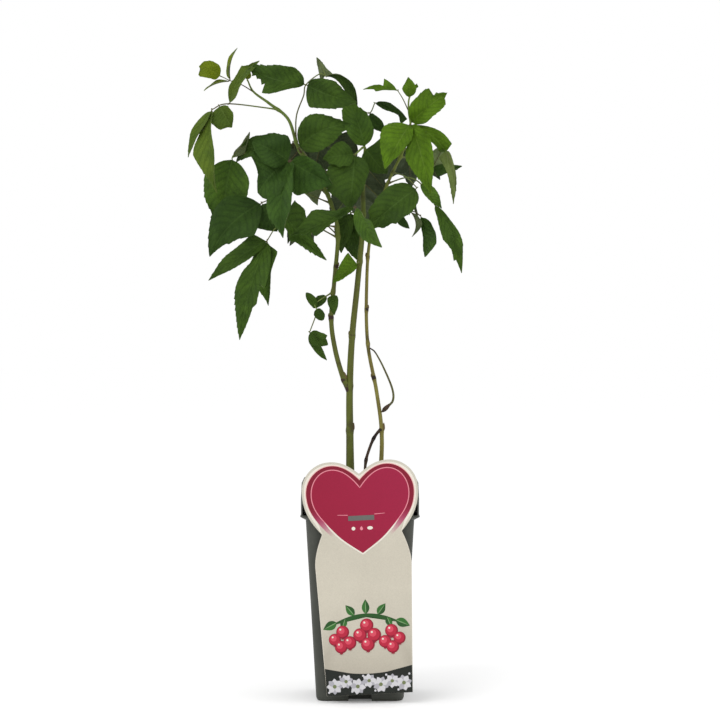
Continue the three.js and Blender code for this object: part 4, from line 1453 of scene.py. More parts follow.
MASSES: tuple[Mass, ...] = (
    Mass("left_tip", "left_cane", Tone.LIME, ((-89, -5, 504), (-94, -4, 514)), (
        Spray(0.45, (
            (154, 19, 17, 10, 15, 0, 8.5), (78, 27, 12, 0, -76, -0.03, 1), (201, 22, 10, 5, 74, 0.05, 1),
        ), (-109, -8, 513)),
        Spray(1, ((112, 8, 4, 0, 30, 0, 0.5), (72, 7, 4, 12, 30, 0, 0.5))),
    )),
    Mass("left_droop", "left_cane", Tone.LIGHT, ((-109, -16, 492.5), (-123, -17, 487.5)), (
        Spray(0.5, ((56, 45, 19, 6, -46, -0.06, 1.5),)),
        Spray(0.72, ((-64, 21, 20, 12, 15, 0, 1),)),
        Spray(1, ((-86, 69, 22, 14, 48, 0, 1.5), (-117, 43, 14, -6, 52, -0.05, 1.5))),
    ), 489),
    Mass("upper_left", "left_cane", Tone.FRESH, (
        (-53, -8, 483), (-47, -9, 500), (-45, -10, 509), (-34, -9, 518), (-28.5, -8, 516.5),
    ), (
        Spray(0.6, ((166, 49, 24, 18, 4, -0.07, 1.5), (-22, 48, 28, 24, 10, 0.03, 1.5))),
        Spray(1, ((112, 17, 13, -5, 165, 0, 0.5), (-46, 40, 13, -24, 50, -0.34, 0.5))),
    ), 462),
    Mass("upper_centre", "left_cane", Tone.FRESH, ((-51, -11, 456),), (
        Spray(1, ((29, 46, 30, 10, 10, -0.1, 1.5),)),
    ), 452),
    Mass("centre", "main_cane", Tone.FRESH, ((4, -6, 457), (-4, -16, 450.5)), (
        Spray(0.5, ((106, 41, 27, 2, 15, 0, 1.5), (-50, 27, 20, -6, 20, 0, 1.5))),
        Spray(1, ((-172, 26, 23, 14, 10, 0, 1.5), (-92, 46, 32, 14, 10, 0, 1.5))),
    )),
    Mass("left_middle", "left_cane", Tone.DEEP, ((-47, -20, 446), (-58, -27, 444)), (
        Spray(1, (
            (-30, 40, 24, 14, 10, 0, 1.5), (152, 39, 32, 10, 10, 0, 1.5),
            (-144, 36, 32, 12, 15, 0, 1.5), (-97, 69, 24, 26, 40, 0, 1.5),
        )),
    ), 437),
    Mass("left_outer", "left_cane", Tone.FRESH, ((-74, 8, 456), (-107, 4, 450)), (
        Spray(0.04, ((135, 27, 20, 0, 170, 0, 1),)),
        Spray(0.5, ((-162, 33, 22, 2, 20, 0.22, 1),)),
        Spray(1, ((50, 25, 14, -4, 130, 0, 1), (-100, 57, 37, -6, 12, 0, 2))),
    ), 418),
    Mass("left_low", "left_cane", Tone.DEEP, ((-55, -2, 421), (-82, -8, 411)), (
        Spray(1, ((-134, 62, 40, 18, 12, 0.07, 1.5), (-62, 26, 20, 6, 15, 0, 1.5))),
    ), 411),
    Mass("left_centre", "left_cane", Tone.FRESH, ((-40, -14, 394), (-63, -16, 401)), (
        Spray(1, ((-48, 52, 30, 14, 10, 0.03, 1.5),)),
    ), 391),
    Mass("left_hanging", "left_cane", Tone.FRESH, ((-48, -8, 396), (-68, -14, 391), (-77, -18, 379)), (
        Spray(1, (
            (-146, 58, 16, 10, 20, 0.03, 1), (-105, 90, 27, 22, 25, 0, 2), (-89, 52, 16, 4, 25, -0.1, 2),
        )),
    ), 382),
    Mass("centre_front", "main_cane", Tone.FRESH, ((-3, -20, 401), (-4, -40, 405)), (
        Spray(1, ((-155, 57, 22, 8, -20, 0, 1.5), (-57, 40, 16, 22, 48, 0, 1.5))),
    ), 395),
    Mass("right_front", "right_cane", Tone.FRESH, ((38, -16, 432), (47, -26, 422)), (
        Spray(1, ((-141, 52, 33, 10, 8, 0, 1.5),)),
    ), 437),
    Mass("right_tip", "right_cane", Tone.BRIGHT, (
        (42, -9.5, 477), (40.5, -10, 487), (41, -9, 498), (46, -8, 506),
    ), (
        Spray(0.25, (
            (-120, 47, 29, 28, 15, -0.04, 2), (-72, 68, 26, 30, 20, 0, 2),
            (-62, 74, 20, -8, 35, -0.25, 2), (38, 40, 24, 18, 12, -0.04, 1.5),
        )),
        Spray(0.5, ((178, 28, 12, 8, 30, 0, 0.5),), (31, -12, 504.5)),
        Spray(0.75, ((92, 17, 12, 10, 20, 0, 1),)),
        Spray(1, ((70, 9, 4, 0, 30, 0, 0.5), (105, 8, 4, 10, 30, 0, 0.5))),
    )),
    Mass("right_outer", "right_cane", Tone.DEEP, ((50, 8, 448), (61, 12, 442)), (
        Spray(0.8, ((128, 18, 14, 6, 30, 0, 1),)),
        Spray(1, ((2, 26, 12, -2, 25, 0, 1), (62, 20, 15, 0, 165, 0, 1))),
    ), 450),
    Mass("right_hanging", "right_cane", Tone.FRESH, ((40, -8, 432), (52, -12, 425), (62, -13, 409)), (
        Spray(0.6, ((-53, 28, 13, 4, 20, 0, 1),)),
        Spray(1, ((-66, 60, 17, 10, 30, -0.06, 1),)),
    ), 428),
    Mass("right_small", "right_cane", Tone.DEEP, ((32, 10, 402), (44, 9, 405), (51, 7, 401)), (
        Spray(0.33, ((-51, 14, 8, 4, 20, 0, 1),)),
        Spray(0.66, ((-95, 21, 11, 2, 50, 0, 1),)),
        Spray(1, ((-87, 35, 14, 4, 35, -0.12, 1),)),
    ), 400),
    Mass("upper_dark", "main_cane", Tone.DEEP, (
        (4, 8, 462), (-2, 12, 490), (8, 12, 488), (12.5, 11, 496.5),
    ), (
        Spray(0.75, ((-52, 22, 13, 2, 35, 0, 0.5),)),
        Spray(1, ((-29, 30, 14, 2, 36, -0.1, 0.5),)),
    ), 430),
    Mass("low_sprig", "left_cane", Tone.FRESH, ((-37, -8, 327), (-36, -8, 320), (-42, -8, 303)), (
        Spray(0, ((-88, 19, 10, 32, 10, 0, 3.5),)),
        Spray(0.1, ((-141, 15, 9, 0, 15, 0, 1),)),
        Spray(0.55, ((118, 15, 9, 0, 10, 0, 0.5), (-60, 11, 9, 6, 10, 0, 0.5))),
        Spray(1, ((-35, 18, 13, 6, 10, 0, 0.5), (-60, 27, 9, -4, 20, 0, 0.5))),
    ), 337),
    Mass("low_centre", "main_cane", Tone.BRIGHT, ((-2, -10, 361),), (
        Spray(1, ((-142, 26, 14, 10, 20, 0, 1),)),
    ), 362),
    Mass("inner", "main_cane", Tone.FRESH, ((-8, 8, 404),), (
        Spray(1, ((-105, 34, 18, -4, 30, 0, 1), (-75, 36, 18, -8, 30, 0, 1))),
    ), 402),
)


@dataclass(frozen=True)
class BackLeaf:
    """A compound leaf at the back of the crown, by its azimuth from +X, seen from above, and its sizes."""

    name: str
    limb: str
    height: float
    azimuth: float
    rise: float
    reach: float
    blade: float
    seed: int

    def mass(self, random: Seeded) -> Mass:
        """The leaf set out by the seeded rule: one end leaflet and two pairs.

        Args:
            random: the stream shared with the part's source.

        Returns:
            The mass, whose stem leaves its limb at the azimuth and arches up.
        """
        foot = LIMBS[self.limb].at_height(self.height)
        azimuth = math.radians(self.azimuth)
        out = np.array([math.cos(azimuth), math.sin(azimuth), 0.0])
        across = np.cross(UP, out)
        slope = math.tan(math.radians(self.rise))
        stem = []
        for share in (0.5, 1.0):
            lift = self.reach * share * (slope + 0.35 * (1 - share))
            stem.append(tuple(foot + out * self.reach * share + UP * lift))
        facing = unit(out + UP * 0.9)

        def leaf(turn: float, share: float) -> Leaflet:
            """One leaflet that is turned from the stem's line and droops.

            Args:
                turn: degrees that it is turned.
                share: its length as a share of the end leaflet's.

            Returns:
                The leaflet.
            """
            aim = math.radians(turn + 16 * (random() - 0.5))
            droop = math.radians(-(34 + 24 * random()))
            level = out * math.cos(aim) + across * math.sin(aim)
            along = level * math.cos(droop) + UP * math.sin(droop)
            length = self.blade * share * (0.92 + 0.16 * random())
            roll = 24 * (random() - 0.5)
            return Leaflet(along, facing, length, length * 0.58, roll, 0.0, 1.5)

        sprays = (
            Spray(0.7, grown=(leaf(78, 0.86), leaf(-78, 0.86))),
            Spray(1, grown=(leaf(0, 1), leaf(50, 0.7), leaf(-50, 0.7))),
        )
        tone = (Tone.DEEP, Tone.FRESH)[self.seed % 2]
        return Mass(self.name, self.limb, tone, tuple(stem), sprays, self.height)


BACK_LEAVES: tuple[BackLeaf, ...] = (
    BackLeaf("back_left", "left_cane", 436, 122, 36, 40, 50, 107),
    BackLeaf("back_centre", "main_cane", 426, 92, 6, 52, 50, 115),
    BackLeaf("back_right", "right_cane", 450, 84, 14, 44, 46, 200),
    BackLeaf("back_low_left", "left_cane", 384, 128, 22, 42, 40, 110),
    BackLeaf("back_low_right", "right_cane", 404, 50, 24, 48, 34, 104),
    BackLeaf("back_top", "left_cane", 454, 40, 20, 32, 39, 315),
    BackLeaf("back_upper", "main_cane", 430, 96, 32, 36, 38, 183),
)


@dataclass
class Foliage:
    """All leaves of the plant: a piece of blades for each mass, and one piece of stalks.

    A stem swells where it leaves its limb, and a shoot at a limb's tip narrows to shoot_tip.
    """

    stalk_sides: int = 8
    shoot_tip: float = 0.6
    swelling: float = 0.75
    swelling_reach: float = 3.2
    twig_rows: int = 13
    stalks: list[Surface] = field(default_factory=list)

    def finishes(self) -> dict[Tone, tuple[Material, Material]]:
        """The upper and lower material of each tone.

        Returns:
            A pair of materials for each tone.
        """
        uppers = {
            Tone.LIME: LeafFinish("leaf_lime", 0.62, 0.12, "57670d", "6a7910", "8d9a3c", "4a580c"),
            Tone.LIGHT: LeafFinish("leaf_light", 0.62, 0.12, "415618", "52651e", "748648", "35480f"),
            Tone.BRIGHT: LeafFinish("leaf_bright", 0.6, 0.12, "425e0c", "527214", "76903f", "334d08"),
            Tone.FRESH: LeafFinish("leaf_fresh", 0.62, 0.14, "2b420e", "3a5316", "567236", "20350a"),
            Tone.DEEP: LeafFinish("leaf_deep", 0.62, 0.14, "263e0f", "334d18", "4d692e", "1b310b"),
        }
        young = LeafFinish("leaf_underside_young", 0.7, 0.1, "52622e", "68783e", "82905a", "82905a", 0.5, 0.3)
        mature = LeafFinish("leaf_underside", 0.72, 0.1, "4a5634", "5e6a46", "78845e", "78845e", 0.5, 0.3)
        pale, grey = young.material(), mature.material()
        fresh_tones = (Tone.LIME, Tone.LIGHT, Tone.BRIGHT)
        return {
            tone: (upper.material(), pale if tone in fresh_tones else grey) for tone, upper in uppers.items()
        }

    def grow(self, mass: Mass, random: Seeded, seed: int) -> Surface:
        """Grows one mass: its stalks join the plant's, and its blades come back.

        Args:
            mass: the mass.
            random: the stream shared with the part's source.
            seed: for the stream of what only the finished blades have.

        Returns:
            The blades as one surface.
        """
        limb = LIMBS[mass.limb]
        stem = np.vstack([limb.at_height(mass.height), mass.stem])
        fine = np.random.default_rng(seed)
        share = np.linspace(0, 1, 10 * len(mass.stem) + 1)
        path = smooth_curve(stem, share)
        run = np.concatenate([[0], np.cumsum(np.linalg.norm(np.diff(path, axis=0), axis=1))])
        tender = None
        radii = SLIMMING * STEM_RADIUS * (1 - STEM_TAPER * share)
        radii = radii + self.swelling * np.exp(-((run / self.swelling_reach) ** 2))
        if mass.height is None:
            tip = limb.radius[1] * limb.thin
            radii = tip + (self.shoot_tip - tip) * share**0.8
            tender = np.ones((len(path), self.stalk_sides))
        self.stalks.append(tube(path, radii, self.stalk_sides, 0, tender))
        blades, forms = [], FORMS.get(mass.name, {})
        for spray in mass.sprays:
            node = smooth_curve(stem, np.array([spray.at]))[0]
            if spray.to:
                end = np.array(spray.to, float)
                middle = (node + end) / 2 + UP * TWIG_ARCH * np.linalg.norm(end - node)
                along = np.linspace(0, 1, self.twig_rows)
                twig = smooth_curve(np.vstack([node, middle, end]), along)
                thin = SLIMMING * STEM_RADIUS * TWIG_SHARE * (1 - STEM_TAPER * along)
                self.stalks.append(tube(twig, thin, self.stalk_sides))
                node = end
            for leaflet in spray.leaflets():
                leaflet = replace(leaflet, form=forms.get(len(blades), PLAIN))
                blade = Blade(node, leaflet, random, fine)
                blades.append(blade.surface())
                self.stalks.append(blade.rib())
        return Surface.join(blades)

    def build(self) -> None:
        """Grows every mass in the order of the part's source."""
        materials = self.finishes()
        record_slots = {
            Tone.LIME: "light_leaf", Tone.LIGHT: "light_leaf", Tone.BRIGHT: "bright_leaf",
            Tone.FRESH: "green_leaf", Tone.DEEP: "dark_leaf",
        }
        # Painted shade: the undersides of the back leaves, which face into the crown, take a darker copy of
        # the underside finish, as if in the crown's shadow.
        codes = ("37422a", "47523a", "626e4b", "626e4b")
        under = LeafFinish("leaf_underside_painted_shade", 0.74, 0.1, *codes, 0.5, 0.3).material()
        grown = [(mass, Seeded(k + 1), k + 1, materials[mass.tone]) for k, mass in enumerate(MASSES)]
        for leaf in BACK_LEAVES:
            random = Seeded(leaf.seed)
            mass = leaf.mass(random)
            grown.append((mass, random, leaf.seed, (materials[mass.tone][0], under)))
        for mass, random, seed, dressed in grown:
            blades = self.grow(mass, random, seed)
            slot, node = record_slots[mass.tone], f"{mass.name}_leaves"
            Piece.make(f"{mass.name}_blades", blades, dressed, slot, [node])
        stalk = StalkFinish("leaf_stalk", 0.6, 0.2, "66763a", "4a3d2a").material()
        Piece.make("leaf_stalks", Surface.join(self.stalks), [stalk], "green_cane")


@dataclass
class Canes:
    """The canes with their bark, nodes and buds, and the two dead twigs.

    Attributes:
        sides: points round a limb.
        rows_per_mm: rings to each millimetre of its run.
        sink: how far a limb that stands in the compost reaches down into it.
        ridges: low ridges round a limb.
        ring: how far the ring at a node stands out, and how far it reaches along the limb.
        scar: how far a scar's middle lies past its node, and the square of how far it reaches.
        joint: how far the scar at a branch's foot reaches.
        parting: how far over its foot a branch counts as leaving its limb.
        lowest_bud: how large the lowest bud is, to one for the others.
        bud_lean: how far a bud leans out from its limb.
    """

    sides: int = 28
    rows_per_mm: float = 1.1
    sink: float = 6.0
    ridges: int = 5
    ring: Pair = (0.42, 2.2)
    scar: Pair = (0.6, 3.4)
    joint: float = 7.0
    parting: float = 4.0
    lowest_bud: float = 1.9
    bud_lean: float = 0.16

    def bark(self, limb: Limb, heights: Sequence[float], wrinkle: float) -> tuple[Surface, Array]:
        """One limb with low ridges round it, a ring at each node, and a scar over each bare node.

        The radius is the limb's own, plus a small sine round it that turns as it climbs, plus a
        narrow bell at each node. The mark is a bell at each bare node on one side of the limb.

        Args:
            limb: the limb.
            heights: the nodes that carry a leaf.
            wrinkle: how deep the ridges are, as a share of the radius.

        Returns:
            The surface and the limb's path.
        """
        points = np.array(limb.points, float)
        length = np.linalg.norm(np.diff(points, axis=0), axis=1).sum()
        steps = int(length * self.rows_per_mm)
        path = limb.path(steps)
        if limb.parent is None:
            path = np.vstack([path[0] - UP * self.sink, path])
        base = limb.radii(steps)
        base = np.concatenate([base[:1], base]) if limb.parent is None else base
        angle = np.linspace(0, 2 * math.pi, self.sides, endpoint=False)[None, :]
        run = np.concatenate([[0], np.cumsum(np.linalg.norm(np.diff(path, axis=0), axis=1))])[:, None]
        wavy = np.sin(self.ridges * angle + run / 19) + 0.6 * np.sin(11 * angle - run / 31)
        radii = base[:, None] * (1 + wrinkle * wavy)
        mark = np.zeros_like(radii)
        for k, height in enumerate([*limb.nodes, *heights]):
            place = run[np.argmin(np.abs(path[:, 2] - height))]
            away = (run - place) / self.ring[1]
            radii = radii + self.ring[0] * np.exp(-(away**2)) * (1 + 0.4 * np.cos(angle - 2.4 * k))
            if height in limb.nodes:
                facing = limb.scar * (0.56 + 0.44 * np.cos(angle - math.pi / 2 - 1.3 * k))
                bell = np.exp(-((run - place - self.scar[0]) ** 2) / self.scar[1])
                mark = np.maximum(mark, bell * facing)
        if limb.parent is not None:
            mark = np.maximum(mark, np.exp(-run / self.joint) * np.ones_like(angle))
        return tube(path, radii, self.sides, 0, np.clip(mark, 0, 1)), path

    def buds(self, limb: Limb, path: Array) -> list[Surface]:
        """A pointed bud pressed to the limb over each bare node, on alternate sides.

        Args:
            limb: the limb.
            path: its middle line.

        Returns:
            The buds, the lowest of them the largest.
        """
        made = []
        for k, height in enumerate(limb.nodes):
            row = np.argmin(np.abs(path[:, 2] - height))
            along = unit(path[min(row + 2, len(path) - 1)] - path[row - 2])
            side = unit(np.cross(along, FRONT)) * (-1 if k % 2 else 1)
            size = self.lowest_bud if k == 0 else 1.0
            foot = path[row] + side * (limb.radius[0] * limb.thin * 0.72) - along * (size - 1.5)
            heights = np.array([0, 0.5, 1.2, 2.0, 2.8, 3.4, 3.8]) * size
            radii = np.array([0.5, 0.8, 0.92, 0.82, 0.56, 0.28, 0.05]) * (0.4 + 0.6 * size)
            made.append(turned_profile(foot, along + side * self.bud_lean, heights, radii, 12, 1))
        return made

    def build(self) -> None:
        """Makes each limb as a piece that stands for its node."""
        bark = BarkFinish("cane_bark", 0.58, 0.2, "555e21", "46481b", "2f2018", "5c6e2e").material()
        # Painted light: the right cane's bark is a paler copy of the cane bark, as if it stood in more light.
        sunlit = BarkFinish("cane_bark_pale", 0.58, 0.2, "7a7638", "62592c", "241a12", "667630").material()
        bud = BarkFinish("cane_bud", 0.6, 0.25, "5f4f2e", "4b3c26", "33231a", "5f4f2e").material()
        dry = BarkFinish("dry_bark", 0.7, 0.2, "565a30", "453f26", "281c14", "565a30").material()
        dead = BarkFinish("dead_bark", 0.75, 0.2, "453629", "2c221b", "1b1410", "453629").material()
        hung = {name: [] for name in LIMBS}
        for mass in [*MASSES, *BACK_LEAVES]:
            if mass.height is not None:
                hung[mass.limb].append(mass.height)
        for limb in LIMBS.values():
            if limb.parent is not None:
                hung[limb.parent].append(limb.points[0][2] + self.parting)
        for name, limb in LIMBS.items():
            alive = name.endswith("cane")
            surface, path = self.bark(limb, hung[name], 0.018 if alive else 0.07)
            parts = [surface, *(self.buds(limb, path) if alive else [])]
            if name == "dry_stalk":
                parts.append(self.dry_bud(path))
            slot = "green_cane" if alive else "dead_wood"
            skins = {"right_cane": sunlit, "dry_stalk": dry, "dead_twig": dead}
            materials = [skins.get(name, bark), bud if alive else dead]
            Piece.make(f"{name}_bark", Surface.join(parts), materials, slot, [name])

    def dry_bud(self, path: Array) -> Surface:
        """The withered bud that the dry stalk ends in.

        Args:
            path: the middle line of the dry stalk.

        Returns:
            The closed bud.
        """
        heights = np.array([-4.5, -3.0, -1.2, 0.8, 2.6, 4.0, 5.0, 5.6])
        radii = np.array([0.8, 1.25, 1.7, 1.95, 1.8, 1.2, 0.6, 0.1])
        return turned_profile(path[-1], path[-1] - path[-3], heights, radii, 12, 1)


# ---- pot, compost and card


def square_ring(half: Array, corner: Array, height: Array, steps: int) -> Array:
    """Squares with rounded corners, anticlockwise from above.

    Each corner is a quarter circle of its radius about a point one radius in from both sides.

    Args:
        half: half widths, one for each ring.
        corner: corner radii.
        height: heights.
        steps: points on each corner.

    Returns:
        The (rings, 4 * steps, 3) points.
    """
    quarter = np.repeat(np.arange(4), steps) * math.pi / 2
    angle = quarter + np.tile(np.linspace(0, math.pi / 2, steps), 4)
    half, corner, height = (np.asarray(v, float)[:, None] for v in (half, corner, height))
    middle = quarter + math.pi / 4
    centre = (half - corner) * math.sqrt(2)
    x = centre * np.cos(middle) + corner * np.cos(angle)
    y = centre * np.sin(middle) + corner * np.sin(angle)
    return np.stack([x, y, np.broadcast_to(height, x.shape)], axis=-1)


def box_cutter(name: str, size: Place, place: Vector, turn: float, round_by: float) -> bpy.types.Object:
    """A block with rounded edges that cuts an opening.

    Args:
        name: the cutter's name.
        size: its three sizes.
        place: its middle, before it is turned.
        turn: how far it is turned about the upright axis, in radians.
        round_by: how far its edges are rounded.

    Returns:
        The block.
    """
    mesh = bpy.data.meshes.new(name)
    block = bmesh.new()
    bmesh.ops.create_cube(block, size=1.0)
    bmesh.ops.scale(block, vec=Vector(size) * MM, verts=block.verts)
    edges = block.edges[:]
    bmesh.ops.bevel(block, geom=edges, offset=round_by * MM, segments=4, affect="EDGES", profile=0.5)
    bmesh.ops.translate(block, vec=place * MM, verts=block.verts)
    bmesh.ops.rotate(block, cent=(0, 0, 0), matrix=Matrix.Rotation(turn, 3, "Z"), verts=block.verts)
    block.to_mesh(mesh)
    block.free()
    return link_object(name, mesh)


@dataclass
class Pot:
    """The tall square pot, from the same sizes as its solid.

    Its arch is a width, a depth and a height, and its slot is a width, a foot's height and a height.
    """

    height: float = 180
    base_width: float = 72
    shoulder_width: float = 89
    collar_foot_width: float = 98
    collar_top_width: float = 95.6
    collar_height: float = 31
    chamfer: float = 3
    wall: float = 1.6
    floor: float = 8
    corner: float = 9
    edge: float = 4
    foot_inset: float = 2.4
    lip: float = 0.8
    bead: float = 0.7
    steps: int = 12
    arch: Place = (19, 13, 6)
    slot: Place = (5, 153, 9)
    margin: float = 5
    crisp: float = 35

    @property
    def shoulder(self) -> float:
        """The height where the collar begins."""
        return self.height - self.collar_height

    def body_half(self, z: Array | float) -> Array | float:
        """Half the outer width of the body at a height, which widens evenly."""
        return (self.base_width + (self.shoulder_width - self.base_width) * z / self.shoulder) / 2

    def profile(self) -> tuple[Array, Array, Array]:
        """Half widths, corner radii and heights of the rings, up the outside and down the inside.

        Returns:
            The three values of each ring, in order.
        """
        turn = np.linspace(0, math.pi / 2, 7)
        ledge = self.shoulder + self.chamfer
        collar, top = self.collar_foot_width / 2, self.collar_top_width / 2
        inset = self.foot_inset * (1 - np.sin(turn))
        foot_half = self.body_half(self.edge) - inset
        foot_high = self.edge * (1 - np.cos(turn))
        walls = np.array([0.25, 0.5, 0.75, 0.97]) * self.shoulder
        bead = np.linspace(-math.pi / 4, math.pi / 2, 6)
        bead_half = collar - self.bead + self.bead * np.cos(bead)
        bead_high = ledge + self.bead * np.sin(bead)
        over = np.linspace(0, math.pi, 9)
        lip_half = top - self.lip + self.lip * np.cos(over)
        lip_high = self.height - self.lip + self.lip * np.sin(over)
        neck = self.shoulder_width / 2
        inside_half = [collar - self.wall, neck - self.wall, self.body_half(self.floor) - self.wall]
        inside_high = [ledge + self.wall, self.shoulder + self.wall, self.floor]
        half = np.concatenate([
            foot_half, self.body_half(walls), [neck, neck + 0.6], bead_half, [(collar + top) / 2],
            lip_half, inside_half,
        ])
        high = np.concatenate([
            foot_high, walls, [self.shoulder, self.shoulder + 0.3], bead_high,
            [(ledge + self.height) / 2], lip_high, inside_high,
        ])
        outside = len(half) - len(inside_half) - len(over) // 2
        corner = np.full(len(half), self.corner)
        corner[: len(inset)] = self.corner - inset
        corner[outside:] = self.corner - self.wall
        return half, corner, high

    def build(self) -> None:
        """Lofts the walls, cuts the drainage arches and corner slots, and dresses the pot."""
        half, corner, high = self.profile()
        rings = square_ring(half, corner, high, self.steps)
        plastic = PlasticFinish("pot_plastic", 0.5, 0.3).material()
        pot = Piece.make("nursery_pot", closed_loft(rings), [plastic], "pot_plastic", ["pot"], self.crisp)
        width, depth, rise = self.arch
        arch_size = (width, depth + 2 * self.margin, 2 * rise)
        arch_place = Vector((0, self.body_half(0) - depth / 2 + self.margin, 0))
        wide, foot, tall = self.slot
        slot_size = (wide, 3 * self.wall + 1, tall)
        out = self.collar_foot_width / 2 * math.sqrt(2) - self.corner * (math.sqrt(2) - 1)
        slot_place = Vector((0, out, foot + tall / 2))
        cutters = []
        for side in range(4):
            turn = side * math.pi / 2
            cutters.append(box_cutter(f"arch_{side}", arch_size, arch_place, turn, 1.5))
            cutters.append(box_cutter(f"slot_{side}", slot_size, slot_place, turn + math.pi / 4, 0.6))
        for cutter in cutters:
            cut = pot.modifiers.new(cutter.name, "BOOLEAN")
            cut.operation, cut.object, cut.solver = "DIFFERENCE", cutter, "EXACT"
        shaped = bpy.data.meshes.new_from_object(pot.evaluated_get(bpy.context.evaluated_depsgraph_get()))
        pot.modifiers.clear()
        pot.data = shaped
        shaped.set_sharp_from_angle(angle=math.radians(self.crisp))
        for cutter in cutters:
            bpy.data.objects.remove(cutter)


@dataclass
class Compost:
    """The compost: a lumpy surface inside the pot, with crumbs lying on it.

    Its level and its rim are how far the surface and its edge lie under the solid's top.
    """

    top: float = 165
    half: float = 46.3
    corner: float = 6.8
    foot: float = 8.6
    foot_half: float = 33.9
    rings: int = 40
    steps: int = 44
    crumbs: int = 620
    level: float = 2.4
    rim: float = 3.2
    grit: float = 0.16

    def heave(self, x: Array, y: Array) -> Array:
        """The surface's height over its level, by three rows of crossed sines.

        Args:
            x: places from left to right.
            y: places from front to back.

        Returns:
            The heights.
        """
        broad = 1.3 * np.sin(x / 17 + 0.6) * np.cos(y / 13 - 0.4)
        middle = 0.7 * np.sin(x / 5.1 + 1.9 * np.sin(y / 7.3)) * np.sin(y / 4.3 + 0.8)
        small = 0.35 * np.sin(x / 1.7 + 2 * np.sin(y / 2.9)) * np.sin(y / 1.5 + 1.3 * np.cos(x / 3.3))
        return broad + middle + small

    def build(self) -> None:
        """Makes the body with its heaved and gritty surface, and the crumbs."""
        share = np.linspace(1, 0.02, self.rings)
        ring = square_ring([self.half], [self.corner], [0.0], self.steps)[0]
        top = ring[None] * share[:, None, None]
        grit = np.random.default_rng(5).normal(0, self.grit, top.shape[:2])
        level = self.top - self.level + self.heave(top[..., 0], top[..., 1]) + grit
        top[..., 2] = np.where(share[:, None] > 0.995, self.top - self.rim, level)
        walls = square_ring([self.foot_half, 42.4], [self.corner] * 2, [self.foot, 150.0], self.steps)
        body = closed_loft(np.vstack([walls, top]))
        soil = SoilFinish("compost_soil", 0.95, 0.15).material()
        Piece.make("compost_bed", body, [soil], "compost", ["compost"], 80)
        Piece.make("compost_crumbs", self.scatter(), [soil], "compost", (), 80)

    def scatter(self) -> Surface:
        """Small lumps strewn over the surface, each a squashed ball with uneven radii.

        Returns:
            All lumps in one surface.
        """
        random = np.random.default_rng(11)
        place = (random.random((self.crumbs, 2)) - 0.5) * 2 * (self.half - 2.5)
        size = 0.5 + 1.5 * random.random(self.crumbs) ** 2.5
        base = self.top - self.level + self.heave(place[:, 0], place[:, 1])
        turn = np.linspace(0, 2 * math.pi, 6, endpoint=False)
        tilt = np.array([0.35, 0.85, 0.95, 0.4])
        rise = np.array([-0.8, -0.25, 0.35, 0.8])
        east, north = tilt[:, None] * np.cos(turn), tilt[:, None] * np.sin(turn)
        ball = np.stack(np.broadcast_arrays(east, north, rise[:, None]), axis=-1)
        uneven = 0.7 + 0.6 * random.random((self.crumbs, *ball.shape[:2], 1))
        lumps = ball[None] * uneven * size[:, None, None, None] * np.array([1.2, 1.0, 0.7])
        centre = np.column_stack([place, base])[:, None, None]
        return Surface.join(closed_loft(lump) for lump in lumps + centre)


